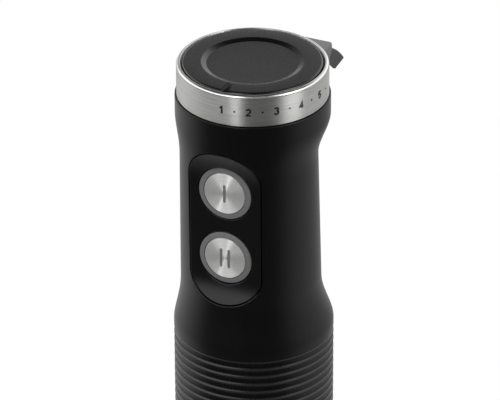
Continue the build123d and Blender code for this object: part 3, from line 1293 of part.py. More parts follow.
# Top cap: dished disc with a pointer notch, plugged into the journal
CAP_RADIUS = RING_RADIUS - RING_WALL - CAP_GAP
SKIRT_OUTER = JOURNAL_RADIUS - JOURNAL_WALL - SEAT_GAP
DISH_FLOOR = CAP_TOP - DISH_DEPTH
with BuildPart() as top_cap:
    with BuildSketch(Plane.XZ):
        with BuildLine():
            Polyline(
                (0, DISH_FLOOR - CAP_THICKNESS),
                (SKIRT_OUTER - CAP_SKIRT_WALL, DISH_FLOOR - CAP_THICKNESS),
                (SKIRT_OUTER - CAP_SKIRT_WALL, CAP_SEAT - CAP_SKIRT),
                (SKIRT_OUTER, CAP_SEAT - CAP_SKIRT),
                (SKIRT_OUTER, CAP_SEAT),
                (CAP_RADIUS, CAP_SEAT),
                (CAP_RADIUS, CAP_TOP),
                (DISH_RADIUS, CAP_TOP),
                (DISH_RADIUS - DISH_SLOPE, DISH_FLOOR),
                (0, DISH_FLOOR),
                close=True,
            )
        make_face()
    revolve(axis=Axis.Z)
    rim = top_cap.edges().filter_by(GeomType.CIRCLE).group_by(SortBy.RADIUS)[-1].sort_by(Axis.Z)[-1]
    fillet(rim, CAP_ROUND)
    with BuildSketch(level(CAP_TOP)):
        with Locations((0, -CAP_RADIUS)):
            Polygon((-NOTCH_WIDTH / 2, 0), (NOTCH_WIDTH / 2, 0), (0, NOTCH_LENGTH), align=None)
    extrude(amount=-NOTCH_DEPTH, mode=Mode.SUBTRACT)
top_cap.part.label = "top_cap"
export_step(top_cap.part, "parts/top_cap.step")

# Cord hood at the back of the collar, with a spigot through the shell
HOOD_RUN = HOOD_HEIGHT - HOOD_EDGE
with BuildPart() as cord_hood:
    with BuildSketch(Plane.YZ):
        with BuildLine():
            Polyline(
                (HOOD_SPIGOT_INNER, COLLAR_TOP),
                (HOOD_REACH, COLLAR_TOP),
                (HOOD_REACH, COLLAR_TOP - HOOD_EDGE),
                (HOOD_REACH - HOOD_RUN, COLLAR_TOP - HOOD_HEIGHT),
                (HOOD_SPIGOT_INNER, COLLAR_TOP - HOOD_HEIGHT),
                close=True,
            )
        make_face()
    extrude(amount=HOOD_WIDTH / 2, both=True)
    corners = cord_hood.edges().filter_by(Axis.Z).group_by(Axis.Y)[-1]
    fillet(corners, HOOD_ROUND)
    add(hood_seat, mode=Mode.SUBTRACT)
    with BuildSketch(facing_front(-HOOD_SPIGOT_INNER, SPIGOT_LEVEL)):
        Circle(HOOD_SPIGOT_RADIUS)
    extrude(amount=HOOD_SPIGOT_INNER - COLLAR_RADIUS)
    with BuildSketch(facing_front(-HOOD_SPIGOT_INNER, SPIGOT_LEVEL)):
        Circle(HOOD_BORE_RADIUS)
    extrude(amount=HOOD_SPIGOT_INNER - COLLAR_RADIUS, mode=Mode.SUBTRACT)
cord_hood.part.label = "cord_hood"
export_step(cord_hood.part, "parts/cord_hood.step")

# Cord boot: flat bend relief that leaves the slanted face of the hood and is cut level at its end
BOOT_ROOT = (HOOD_REACH - BOOT_STEP, COLLAR_TOP - HOOD_EDGE - BOOT_STEP)
BOOT_END = COLLAR_TOP - BOOT_DROP
BOOT_SIDE = BOOT_THICKNESS / sqrt(2)
BOOT_TIP = BOOT_ROOT[0] + BOOT_REACH
with BuildPart() as cord_boot:
    with BuildSketch(Plane.YZ):
        with BuildLine():
            SagittaArc(BOOT_ROOT, (BOOT_TIP, BOOT_END), BOOT_BOW)
            Polyline(
                (BOOT_TIP, BOOT_END),
                (BOOT_TIP - 2 * BOOT_SIDE, BOOT_END),
                (BOOT_ROOT[0] - BOOT_SIDE, BOOT_ROOT[1] - BOOT_SIDE),
                BOOT_ROOT,
            )
        make_face()
    extrude(amount=BOOT_WIDTH / 2, both=True)
    long_edges = cord_boot.faces().filter_by(Axis.X).edges().sort_by(Axis.Z)[2:6]
    fillet(long_edges, BOOT_ROUND)
    with BuildSketch(level(BOOT_END)):
        with Locations((0, BOOT_TIP - BOOT_SIDE)):
            SlotOverall(INLET_LENGTH, INLET_WIDTH)
    extrude(amount=INLET_DEPTH, dir=(0, -1, 1), mode=Mode.SUBTRACT)
cord_boot.part.label = "cord_boot"
export_step(cord_boot.part, "parts/cord_boot.step")
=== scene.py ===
# %% [markdown]
# # An immersion blender, dressed for its picture
# The CAD model arrives as a frame of named nodes in metres, with the drive axis on Z, the buttons
# towards -Y and the blade guard's rim on the floor. What the picture shows closely is made again here
# with softer edges; everything else keeps its CAD node and gets a finish.

# %% The frame
import json
from math import asin, cos, pi, radians, sin, sqrt, tan

import bmesh
import bpy
from mathutils import Matrix, Vector


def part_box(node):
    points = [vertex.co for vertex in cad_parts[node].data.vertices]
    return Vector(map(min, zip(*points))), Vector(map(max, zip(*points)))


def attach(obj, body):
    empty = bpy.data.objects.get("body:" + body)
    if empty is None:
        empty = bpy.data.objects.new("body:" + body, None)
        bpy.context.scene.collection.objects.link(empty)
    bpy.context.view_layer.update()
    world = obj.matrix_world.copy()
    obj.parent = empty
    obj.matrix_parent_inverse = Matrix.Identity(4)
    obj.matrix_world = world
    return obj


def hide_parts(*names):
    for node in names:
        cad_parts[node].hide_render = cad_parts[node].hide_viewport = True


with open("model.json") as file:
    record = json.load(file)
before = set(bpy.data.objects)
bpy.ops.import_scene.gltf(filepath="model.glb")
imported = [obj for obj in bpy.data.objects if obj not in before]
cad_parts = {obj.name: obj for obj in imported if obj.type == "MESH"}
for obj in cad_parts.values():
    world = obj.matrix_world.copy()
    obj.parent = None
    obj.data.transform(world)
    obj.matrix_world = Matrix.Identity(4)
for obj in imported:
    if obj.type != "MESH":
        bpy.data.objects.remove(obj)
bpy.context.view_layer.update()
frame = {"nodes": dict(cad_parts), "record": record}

MM = 0.001

# %% [markdown]
# ## Helpers for finishes
# Colours are written as the hex values that a paint program shows, so one function turns them into the
# linear numbers that a shader needs. A second one adds a node, sets it and links it, and a third starts
# a material with the parts that all of them share.


# %% Colours and nodes
def hue(code):
    """Turns an sRGB hex value into linear red, green, blue and alpha."""
    parts = [int(code[i:i + 2], 16) / 255 for i in (1, 3, 5)]
    return [p / 12.92 if p <= 0.04045 else ((p + 0.055) / 1.055) ** 2.4 for p in parts] + [1.0]


def add(tree, kind, inputs=None, **settings):
    """Adds one node; its inputs are values, or sockets to link from."""
    node = tree.nodes.new(kind)
    for name, value in settings.items():
        setattr(node, name, value)
    for key, value in (inputs or {}).items():
        if isinstance(value, bpy.types.NodeSocket):
            tree.links.new(value, node.inputs[key])
        else:
            node.inputs[key].default_value = value
    return node


def finish(name, **values):
    """Starts a material: its tree, its place on the piece in metres, and its shader."""
    material = bpy.data.materials.new(name)
    material.use_nodes = True
    tree = material.node_tree
    tree.nodes.clear()
    place = add(tree, "ShaderNodeTexCoord").outputs["Object"]
    shader = add(tree, "ShaderNodeBsdfPrincipled", {k.replace("_", " "): v for k, v in values.items()})
    add(tree, "ShaderNodeOutputMaterial", {"Surface": shader.outputs[0]})
    return material, tree, place, shader


print("middle grey in linear light:", round(hue("#808080")[0], 3))

# %% [markdown]
# ## Moulded plastic and rubber
# A moulding copies the tool it came from. Housings like this one come from a spark-eroded tool, whose
# fine grain breaks a reflection up and makes black plastic satin instead of shiny. A noise texture does
# both jobs: it bumps the surface and it varies the roughness. A second, wide noise shifts the tone a
# little, as handling does.

# %% Moulded finishes
GRAIN_SPREAD = 0.06


def moulded(name, dark, light, rough, grain, depth, mottle=14 * MM, **values):
    """Plastic or rubber: two near tones, a grain of a real size, and a roughness that follows it."""
    material, tree, place, shader = finish(name, **values)
    wide = add(tree, "ShaderNodeTexNoise", {"Vector": place, "Scale": 1 / mottle, "Detail": 3.0})
    fine = add(tree, "ShaderNodeTexNoise", {"Vector": place, "Scale": 1 / grain, "Detail": 2.0})
    tone = add(tree, "ShaderNodeMix", {"Factor": wide.outputs[0], "A": hue(dark), "B": hue(light)},
               data_type="RGBA")
    spread = add(tree, "ShaderNodeMapRange", {"Value": fine.outputs[0], "To Min": rough - GRAIN_SPREAD,
                                              "To Max": rough + GRAIN_SPREAD})
    relief = add(tree, "ShaderNodeBump", {"Height": fine.outputs[0], "Strength": 1.0, "Distance": depth})
    tree.links.new(tone.outputs["Result"], shader.inputs["Base Color"])
    tree.links.new(spread.outputs[0], shader.inputs["Roughness"])
    tree.links.new(relief.outputs[0], shader.inputs["Normal"])
    return material


FINISHES = {
    # spark-eroded ABS: black, satin, with a grain that only shows close to
    "body_black": moulded("spark_eroded_abs", "#060606", "#090909", 0.3, 0.5 * MM, 0.006 * MM),
    # the same plastic from a finer tool: a shade lighter, and weaker in what it reflects
    "panel_black": moulded("satin_abs_panel", "#0d0d0d", "#111111", 0.32, 0.4 * MM, 0.005 * MM,
                           Specular_IOR_Level=0.3),
    # shallow grain: smooth enough for the dish to draw its crescents of light
    "cap_black": moulded("grained_abs_cap", "#060606", "#0a0a0a", 0.26, 0.5 * MM, 0.002 * MM),
    # thermoplastic rubber: hardly any grain, so each flute draws one clear line of light
    "grip_rubber": moulded("thermoplastic_rubber", "#050505", "#080808", 0.27, 0.6 * MM, 0.0015 * MM),
    # soft PVC: dull dark grey
    "boot_rubber": moulded("soft_pvc", "#3e3e3e", "#484848", 0.5, 0.6 * MM, 0.01 * MM),
    # grey ABS: satin, and a rougher tool for the hood than for the buttons
    "button_grey": moulded("grey_abs", "#6c6c6c", "#747474", 0.4, 0.5 * MM, 0.006 * MM),
    "hood_grey": moulded("dark_grey_abs", "#757575", "#7d7d7d", 0.44, 0.5 * MM, 0.008 * MM),
    # nylon: black with a plain grain outside, waxy cream or grey inside
    "leg_plastic": moulded("grained_nylon", "#141414", "#1b1b1b", 0.4, 0.5 * MM, 0.008 * MM),
    "coupling_nylon": moulded("natural_nylon", "#cfcabb", "#dcd8ca", 0.42, 0.6 * MM, 0.01 * MM),
    "inner_plastic": moulded("grey_nylon", "#6a6c6e", "#787a7c", 0.5, 0.6 * MM, 0.01 * MM),
    # damper rubber: matt black
    "damper_rubber": moulded("damper_rubber", "#1c1c1c", "#262626", 0.7, 0.7 * MM, 0.015 * MM),
    # silicone rubber: pale and milky
    "membrane_silicone": moulded("silicone_rubber", "#8c9a9c", "#98a5a7", 0.55, 0.7 * MM, 0.01 * MM),
    # solder mask: shiny green, mottled by the copper under it
    "circuit_board": moulded("solder_mask", "#14562f", "#1b6b3c", 0.32, 0.9 * MM, 0.004 * MM, 5 * MM),
    # cast epoxy and polyester cases: dull black and half-shiny yellow
    "component_black": moulded("epoxy_case", "#1d1d1f", "#262629", 0.5, 0.4 * MM, 0.01 * MM),
    "capacitor_case": moulded("polyester_case", "#b8a14c", "#c7b05a", 0.4, 0.5 * MM, 0.006 * MM),
    # pressed carbon: matt, with the coarse grain of the powder
    "brush_carbon": moulded("pressed_carbon", "#202022", "#2c2c2e", 0.6, 0.4 * MM, 0.02 * MM),
}
print("moulded finishes:", len(FINISHES))

# %% [markdown]
# ## Metals
# Brushing leaves fine scratches in one direction. They scatter light across themselves, so a brushed
# band shows bright and dark stripes that run across the scratches. The shader's anisotropy does that, and
# a noise stretched along the scratches draws the streaks. A stretched noise needs no seam: it is the same
# noise, read with a long measure along the scratches and a short one across them.

# %% Metal finishes
STREAK_LOW = 0.3
STREAK_HIGH = 0.7
STREAK_SPREAD = 0.05


def metal(name, dark, light, rough, read, axis=None, **values):
    """Metal from a streak noise; read makes the noise's coordinates from the place on the piece."""
    material, tree, place, shader = finish(name, **{"Metallic": 1.0, **values})
    streak = add(tree, "ShaderNodeTexNoise", {"Vector": read(tree, place), "Scale": 1.0, "Detail": 3.0})
    share = add(tree, "ShaderNodeMapRange", {"Value": streak.outputs[0], "From Min": STREAK_LOW,
                                             "From Max": STREAK_HIGH})
    tone = add(tree, "ShaderNodeMix", {"Factor": share.outputs[0], "A": hue(dark), "B": hue(light)},
               data_type="RGBA")
    spread = add(tree, "ShaderNodeMapRange", {"Value": share.outputs[0], "To Min": rough + STREAK_SPREAD,
                                              "To Max": rough - STREAK_SPREAD})
    tree.links.new(tone.outputs["Result"], shader.inputs["Base Color"])
    tree.links.new(spread.outputs[0], shader.inputs["Roughness"])
    if axis:
        way = add(tree, "ShaderNodeTangent", axis=axis, direction_type="RADIAL")
        tree.links.new(way.outputs[0], shader.inputs["Tangent"])
    return material


def stretched(along, across, upright=False):
    """Streaks of a real length and width that run round the drive axis, or upright along it."""
    level, rise = (across, along) if upright else (along, across)
    scale = (1 / level, 1 / level, 1 / rise)
    return lambda tree, place: add(tree, "ShaderNodeMapping", {"Vector": place, "Scale": scale}).outputs[0]


FINISHES.update({
    # stainless band, brushed round: fine level streaks, and reflections smeared upright; real scratches
    # are about 0.05 mm wide, drawn eight times as wide so that they show
    "ring_steel": metal("brushed_stainless_band", "#b2b2b0", "#c8c8c6", 0.45, stretched(14 * MM, 0.4 * MM),
                        "Z", Anisotropic=1.0, Anisotropic_Rotation=0.25, Metallic=0.9),
    # drawn tube: streaks along the leg
    "leg_steel": metal("drawn_stainless_tube", "#bcbcba", "#d2d2d0", 0.24,
                       stretched(40 * MM, 0.8 * MM, upright=True)),
    # ground blade: short coarse streaks
    "blade_steel": metal("ground_stainless", "#b2b3b4", "#d0d1d2", 0.26, stretched(9 * MM, 0.5 * MM)),
    # turned steel: the fine rings that a lathe leaves
    "shaft_steel": metal("turned_steel", "#a9abad", "#c4c6c8", 0.3, stretched(8 * MM, 0.4 * MM)),
    # zinc plate: bluish, a little cloudy
    "fastener_steel": metal("zinc_plate", "#b0b3b6", "#c8cacc", 0.34, stretched(4 * MM, 0.8 * MM)),
    # extruded aluminium: the lines of the die along the fins
    "heatsink_aluminium": metal("extruded_aluminium", "#b6b8ba", "#cdcfd1", 0.38,
                                stretched(25 * MM, 0.5 * MM, upright=True)),
    # laminations: half-millimetre sheets, seen edge on
    "lamination_iron": metal("stacked_silicon_iron", "#565a5e", "#8e9195", 0.45,
                             stretched(80 * MM, 0.5 * MM)),
    # enamelled wire: turns 0.6 mm apart
    "winding_copper": metal("enamelled_copper", "#824419", "#bf7038", 0.36, stretched(40 * MM, 0.6 * MM)),
    # sintered bronze: the specks of its powder, the same size every way
    "bush_bronze": metal("sintered_bronze", "#8d6a35", "#a98449", 0.45, stretched(0.8 * MM, 0.8 * MM)),
})
print("all finishes:", len(FINISHES))

# %% [markdown]
# ## Helpers for pieces
# Most visible pieces are turned shapes: a profile swept round an axis. The profile is a list of corners,
# and each corner may carry a radius, because a real edge always has one and that radius is what catches
# light.

# %% Profiles and turned shapes
# two places nearer than this count as one, and corners nearer than the second are welded
NEAR = 0.001 * MM
WELD = 0.0001 * MM
CREASE = 34


def softened(corners, steps=6):
    """Replaces each corner (across, along, radius) by an arc of that radius."""
    line = []
    for i, (across, along, *radius) in enumerate(corners):
        here = Vector((across, along))
        if not radius:
            line.append(here)
            continue
        back = (Vector(corners[i - 1][:2]) - here).normalized()
        on = (Vector(corners[i + 1][:2]) - here).normalized()
        half = back.angle(on) / 2
        middle = here + (back + on).normalized() * radius[0] / sin(half)
        start = here + back * radius[0] / tan(half)
        end = here + on * radius[0] / tan(half)
        sweep = (start - middle).angle_signed(end - middle)
        for k in range(steps + 1):
            line.append(middle + Matrix.Rotation(-sweep * k / steps, 2) @ (start - middle))
    return line


def turned(line, steps, stand=Matrix.Identity(4)):
    """Sweeps a closed or axis-to-axis profile (radius, height) round Z, then stands it in its place."""
    shape = bmesh.new()
    turns = [2 * pi * k / steps for k in range(steps)]
    rings = []
    for radius, height in line:
        if radius < NEAR:
            rings.append([shape.verts.new((0, 0, height))] * steps)
        else:
            rings.append([shape.verts.new((radius * sin(a), -radius * cos(a), height)) for a in turns])
    for low, high in zip(rings, rings[1:]):
        for k in range(steps):
            corners = [low[k], low[k - 1], high[k - 1], high[k]]
            corners = [c for i, c in enumerate(corners) if c not in corners[:i]]
            if len(corners) > 2:
                shape.faces.new(corners)
    bmesh.ops.remove_doubles(shape, verts=shape.verts, dist=WELD)
    bmesh.ops.transform(shape, matrix=stand, verts=shape.verts)
    return shape


def piece(name, shape, body, slot, *nodes, crease=CREASE):
    """Turns a bmesh into a finished piece on a body, in a finish, in place of CAD nodes."""
    bmesh.ops.recalc_face_normals(shape, faces=shape.faces)
    mesh = bpy.data.meshes.new(name)
    shape.to_mesh(mesh)
    shape.free()
    return dressed(name, mesh, body, slot, *nodes, crease=crease)


def dressed(name, mesh, body, slot, *nodes, crease=CREASE):
    """Gives a mesh its object, the finish that its slot names, and its body."""
    made = bpy.data.objects.new(name, mesh)
    bpy.context.scene.collection.objects.link(made)
    mesh.materials.clear()
    mesh.materials.append(FINISHES[slot])
    mesh.shade_smooth()
    mesh.set_sharp_from_angle(angle=radians(crease))
    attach(made, body)
    if nodes:
        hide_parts(*nodes)
    print(name, "faces:", len(mesh.polygons))
    return made


print("points on a soft corner:", len(softened([(0, 0), (1, 0, 0.2), (1, 1)])) - 2)

# %% [markdown]
# ## The speed ring
# A stainless band that turns round the top of the handle. Its rims are rolled over a little, which gives
# the thin light line round the cap in the picture. It is a turned shape, and its rolled top takes a
# second finish, because a rim is buffed after the band is brushed.

# %% Ring
ring_low, ring_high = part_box("speed_ring")
RING_STEPS = 256
RING_RADIUS = ring_high.x
RING_WALL = 1.6 * MM
RING_INNER = RING_RADIUS - RING_WALL
RING_FOOT = 0.35 * MM
RING_EDGE = 1.1 * MM
RING_TOP = ring_high.z - 0.5 * MM
RING_LIP = 0.25 * MM
RIM_RISE = 0.35 * MM
RING_PROFILE = [
    (RING_INNER, ring_low.z + RING_WALL), (RING_INNER, ring_low.z), (RING_RADIUS, ring_low.z, RING_FOOT),
    (RING_RADIUS, RING_TOP, RING_EDGE), (RING_INNER, RING_TOP + RIM_RISE, RING_LIP),
    (RING_INNER, ring_low.z + RING_WALL)]
band = piece("brushed_ring", turned(softened(RING_PROFILE), RING_STEPS), "speed_dial", "ring_steel",
             "speed_ring")
# buffed rim: short streaks round it and a clear white glint
band.data.materials.append(metal("buffed_stainless_rim", "#c6c6c4", "#d8d8d6", 0.3,
                                 stretched(10 * MM, 0.5 * MM)))
for face in band.data.polygons:
    face.material_index = int(face.center.z > RING_TOP - RING_EDGE)

# %% [markdown]
# The numbers are thin dark inlays that stand a hair proud. Each is drawn as the line that a pen would
# take, widened to a stroke, given a thickness and bent round the band. Text from a font would do as well,
# but its strokes are thinner than the printed ones.

# %% Numbers
NUMBER_HEIGHT = 388.45 * MM
NUMBER_TALL = 3.1 * MM
NUMBER_WIDE = 2.0 * MM
NUMBER_STROKE = 0.74 * MM
NUMBER_STEP = radians(21.1)
NUMBER_START = radians(0.6)
NUMBER_PROUD = 0.05 * MM
MITRE_LIMIT = 0.5
# dark fill printed into the etched number: flat and a little uneven
FINISHES["ring_ink"] = moulded("etched_dark_fill", "#101010", "#181818", 0.5, 0.4 * MM, 0.004 * MM)


def arc(across, up, wide, tall, start, end, steps=14):
    """Points on part of an ellipse, in shares of the number's box."""
    turns = [radians(start + (end - start) * k / steps) for k in range(steps + 1)]
    return [(across + wide * cos(a), up + tall * sin(a)) for a in turns]


# the pen lines of 1 to 5, each in a box one wide and one tall
PEN_LINES = (
    [[(-0.25, 0.74), (0.2, 0.95), (0.2, 0.0)]],
    [arc(0.0, 0.68, 0.38, 0.25, 170, -35) + [(-0.36, 0.08), (0.46, 0.08)]],
    [arc(-0.02, 0.725, 0.34, 0.205, 165, -85), arc(-0.02, 0.29, 0.39, 0.23, 85, -168)],
    [[(0.46, 0.27), (-0.42, 0.27), (0.16, 0.93), (0.16, 0.0)]],
    [[(0.38, 0.92), (-0.28, 0.92), (-0.34, 0.55)] + arc(-0.03, 0.33, 0.38, 0.27, 140, -140)],
)


def stroke(points, width):
    """Both sides of a pen line of a given width, mitred at its corners."""
    points = [Vector(p) for p in points]
    ways = [(b - a).normalized() for a, b in zip(points, points[1:])]
    sides = []
    for i, point in enumerate(points):
        back = ways[max(i - 1, 0)]
        on = ways[min(i, len(ways) - 1)]
        normal = Vector((-back.y - on.y, back.x + on.x)).normalized()
        reach = width / 2 / max(normal.dot(Vector((-on.y, on.x))), MITRE_LIMIT)
        sides.append((point + normal * reach, point - normal * reach))
    return sides


def on_band(across, up, out, turn):
    """A number's point on the band, at a turn from the front; out is 1 on its face and -1 on its back."""
    away = RING_RADIUS + out * NUMBER_PROUD
    turn += across / RING_RADIUS
    return away * sin(turn), -away * cos(turn), NUMBER_HEIGHT + up


def bent_ribbon(shape, sides, turn):
    """Adds a closed ribbon between two sides, front and back, bent round the band."""
    rows = [[shape.verts.new(on_band(*q, out, turn)) for out in (1, -1) for q in pair] for pair in sides]
    for one, other in zip(rows, rows[1:]):
        for a, b in ((0, 1), (1, 3), (3, 2), (2, 0)):
            shape.faces.new((one[a], one[b], other[b], other[a]))
    for row in (rows[0], rows[-1]):
        shape.faces.new((row[0], row[1], row[3], row[2]))


inlays = bmesh.new()
for i, lines in enumerate(PEN_LINES):
    for line in lines:
        pen = [(x * NUMBER_WIDE, (y - 0.5) * NUMBER_TALL) for x, y in line]
        bent_ribbon(inlays, stroke(pen, NUMBER_STROKE), NUMBER_START + i * NUMBER_STEP)
print("numbers:", len(inlays.faces), "faces")

# %% [markdown]
# The dots between the numbers repeat at an even step round the band, so a Geometry Nodes tree sets them
# out: points by index, one small disc at each, turned to face outwards. A tree's arithmetic is easier to
# follow as a table of sums than as one node after another, so one helper works such a table out. The
# other helpers start a tree with its named inputs, end it, and turn its result into a plain mesh.

# %% Helpers for trees
SOCKETS = {float: "NodeSocketFloat", int: "NodeSocketInt", bpy.types.Material: "NodeSocketMaterial"}


def new_tree(name, sizes):
    """Starts a tree with a named input for each size; gives its settings and its sockets by name."""
    tree = bpy.data.node_groups.new(name, "GeometryNodeTree")
    settings = {}
    for label, size in sizes.items():
        socket = tree.interface.new_socket(label, in_out="INPUT", socket_type=SOCKETS[type(size)])
        settings[socket.identifier] = size
    tree.interface.new_socket("Mesh", in_out="OUTPUT", socket_type="NodeSocketGeometry")
    return tree, settings, {socket.name: socket for socket in add(tree, "NodeGroupInput").outputs}


def worked_out(tree, known, sums):
    """Adds sums to the known sockets: each has its name, its operation and its terms, known or numbers."""
    for name, operation, *terms in sums:
        inputs = {i: known.get(term, term) for i, term in enumerate(terms)}
        known[name] = add(tree, "ShaderNodeMath", inputs, operation=operation).outputs[0]


def ended(tree, geometry, material):
    """Ends a tree: plain geometry in place of instances, its material, and the way out."""
    real = add(tree, "GeometryNodeRealizeInstances", {"Geometry": geometry}).outputs[0]
    inked = add(tree, "GeometryNodeSetMaterial", {"Geometry": real, "Material": material}).outputs[0]
    add(tree, "NodeGroupOutput", {0: inked})


def grown(tree, settings):
    """Runs a tree once and gives back its plain mesh."""
    holder = bpy.data.objects.new(tree.name, bpy.data.meshes.new(tree.name))
    bpy.context.scene.collection.objects.link(holder)
    modifier = holder.modifiers.new(tree.name, "NODES")
    modifier.node_group = tree
    for identifier, value in settings.items():
        modifier[identifier] = value
    made = bpy.data.meshes.new_from_object(holder.evaluated_get(bpy.context.evaluated_depsgraph_get()))
    holder.modifiers.clear()
    bpy.data.objects.remove(holder)
    print(tree.name, "nodes:", len(tree.nodes), "faces:", len(made.polygons))
    return made


print("kinds of size that a tree takes:", len(SOCKETS))

# %% Dots between the numbers
DOT_SIDES = 20
DOT_RADIUS = 0.42 * MM
dots, settings, at = new_tree("dots_round_a_band", {
    "Band radius": RING_RADIUS, "Height": NUMBER_HEIGHT, "Step": NUMBER_STEP, "Start": NUMBER_START,
    "Dot radius": DOT_RADIUS, "Dot thickness": 2 * NUMBER_PROUD, "Count": len(PEN_LINES),
    "Finish": FINISHES["ring_ink"]})
at["index"] = add(dots, "GeometryNodeInputIndex").outputs[0]
worked_out(dots, at, (
    ("place", "ADD", "index", 0.5),
    ("turn", "MULTIPLY_ADD", "place", "Step", "Start"),
    ("sine", "SINE", "turn"),
    ("cosine", "COSINE", "turn"),
    ("x", "MULTIPLY", "sine", "Band radius"),
    ("ahead", "MULTIPLY", "cosine", "Band radius"),
    ("y", "MULTIPLY", "ahead", -1.0)))
spot = add(dots, "ShaderNodeCombineXYZ", {"X": at["x"], "Y": at["y"], "Z": at["Height"]}).outputs[0]
points = add(dots, "GeometryNodePoints", {"Count": at["Count"], "Position": spot}).outputs[0]
disc = add(dots, "GeometryNodeMeshCylinder", {"Vertices": DOT_SIDES, "Radius": at["Dot radius"],
                                              "Depth": at["Dot thickness"]}).outputs["Mesh"]
facing = add(dots, "ShaderNodeCombineXYZ", {"X": pi / 2, "Z": at["turn"]}).outputs[0]
spread = add(dots, "GeometryNodeInstanceOnPoints", {"Points": points, "Instance": disc,
                                                    "Rotation": facing}).outputs[0]
ended(dots, spread, at["Finish"])
inlays.from_mesh(grown(dots, settings))
ink = piece("ring_numbers", inlays, "speed_dial", "ring_ink")

# %% [markdown]
# ## The top cap
# A grained disc inside the ring, with a shallow round dish and a pointer notch at the front edge. The
# dish's wall is drawn with two soft corners, because the crescents of light in the picture come from
# them. The notch is a wedge that deepens towards the rim, cut out with a Boolean that is applied at once.

# %% Cap
CAP_STEPS = 256
CAP_TOP = ring_high.z - 0.03 * MM
CAP_RADIUS = 27.85 * MM
CAP_RIM = 1.0 * MM
DISH_RADIUS = 20.3 * MM
DISH_RIM = 0.3 * MM
DISH_FLOOR = 18.2 * MM
DISH_CORNER = 0.4 * MM
DISH_DEPTH = 0.8 * MM
CAP_SKIRT = 6 * MM
CAP_PROFILE = [
    (0, CAP_TOP - CAP_SKIRT), (CAP_RADIUS, CAP_TOP - CAP_SKIRT), (CAP_RADIUS, CAP_TOP, CAP_RIM),
    (DISH_RADIUS, CAP_TOP, DISH_RIM), (DISH_FLOOR, CAP_TOP - DISH_DEPTH, DISH_CORNER),
    (0, CAP_TOP - DISH_DEPTH)]
cap = piece("grained_cap", turned(softened(CAP_PROFILE), CAP_STEPS), "motor_unit", "cap_black", "top_cap")

# %% Pointer notch
# corners of the notch, left and right, at the dish and beyond the rim, with their depths, in mm
NOTCH = ((-1.5, -20.2, 0.02), (1.5, -22.3, 0.1), (2.7, -29.0, 2.4), (-0.9, -29.0, 0.5))
notch = bmesh.new()
top = [notch.verts.new((x * MM, y * MM, CAP_TOP + MM)) for x, y, depth in NOTCH]
low = [notch.verts.new((x * MM, y * MM, CAP_TOP - depth * MM)) for x, y, depth in NOTCH]
notch.faces.new(top)
# two facets, a shallow one on the left and a steep one on the right
notch.faces.new((low[0], low[1], low[3]))
notch.faces.new((low[1], low[2], low[3]))
for k in range(len(NOTCH)):
    notch.faces.new((top[k], top[k - 1], low[k - 1], low[k]))
bmesh.ops.triangulate(notch, faces=notch.faces)
bmesh.ops.recalc_face_normals(notch, faces=notch.faces)
notch_mesh = bpy.data.meshes.new("notch")
notch.to_mesh(notch_mesh)
notch.free()
cutter = bpy.data.objects.new("notch", notch_mesh)
bpy.context.scene.collection.objects.link(cutter)
cut = cap.modifiers.new("notch", "BOOLEAN")
cut.object = cutter
cut.solver = "EXACT"
carved = bpy.data.meshes.new_from_object(cap.evaluated_get(bpy.context.evaluated_depsgraph_get()))
cap.modifiers.clear()
cap.data = carved
carved.set_sharp_from_angle(angle=radians(CREASE))
bpy.data.objects.remove(cutter)
print("cap with its notch:", len(carved.polygons), "faces")

# %% [markdown]
# ## The handle shell
# One moulding from the grip to the collar. Its sections are circles that shrink and move forward at the
# neck, so any point of it follows from a height and an angle. The front has an oval opening for the
# button panel. A flat sheet with that opening is drawn first, ruled with lines, and every corner of it is
# then laid on the handle: that keeps the opening's edge exact and lets it be rolled over.

# %% Handle form
GRIP_RADIUS = 32.2 * MM
NECK_RADIUS = 28.2 * MM
NECK_TOP_RADIUS = 27.45 * MM
COLLAR_RADIUS = 30.8 * MM
NECK_SHIFT = 2.4 * MM
NECK_TOP_SHIFT = 3.8 * MM
COLLAR_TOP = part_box("handle_shell")[1].z
COLLAR_BASE = COLLAR_TOP - 8.0 * MM
NECK_TOP = COLLAR_BASE - 17.0 * MM
NECK_BASE = NECK_TOP - 55.5 * MM
FLARE_BASE = NECK_BASE - 21.0 * MM
sleeve_low, sleeve_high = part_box("grip_sleeve")
GRIP_TOP = sleeve_high.z
FLARE_BIAS = 0.75
SHOULDER_BIAS = 1.25
STATIONS = ((FLARE_BASE, GRIP_RADIUS, 0.0), (NECK_BASE, NECK_RADIUS, NECK_SHIFT),
            (NECK_TOP, NECK_TOP_RADIUS, NECK_TOP_SHIFT), (COLLAR_BASE, COLLAR_RADIUS, 0.0))


def handle_section(height):
    """Radius and forward shift of the handle at a height."""
    if height <= FLARE_BASE:
        return GRIP_RADIUS, 0.0
    for (low, r0, s0), (high, r1, s1) in zip(STATIONS, STATIONS[1:]):
        if height <= high:
            share = (height - low) / (high - low)
            if low != NECK_BASE:
                share = share ** (FLARE_BIAS if low == FLARE_BASE else SHOULDER_BIAS)
                share = share * share * (3 - 2 * share)
            return r0 + (r1 - r0) * share, s0 + (s1 - s0) * share
    return COLLAR_RADIUS, 0.0


for place in (GRIP_TOP, NECK_BASE, NECK_TOP, COLLAR_BASE):
    print("handle at", round(place, 4), "radius", round(handle_section(place)[0], 4))

# %% Facet and panel outline
FACET_FRONT = 26.3 * MM
FACET_TOP_BEND = 31.4 * MM
FACET_BASE_BEND = 20.0 * MM
BEND_LIMIT = 0.98
FLAT_TOP = 351.8 * MM
FLAT_BASE = 313.0 * MM
panel_low, panel_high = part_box("button_panel")
PANEL_HALF = panel_high.x
PANEL_TOP_END = 13.2 * MM
PANEL_BASE_END = 11.6 * MM
PANEL_TOP_CENTRE = panel_high.z - PANEL_TOP_END
PANEL_BASE_CENTRE = panel_low.z + PANEL_BASE_END


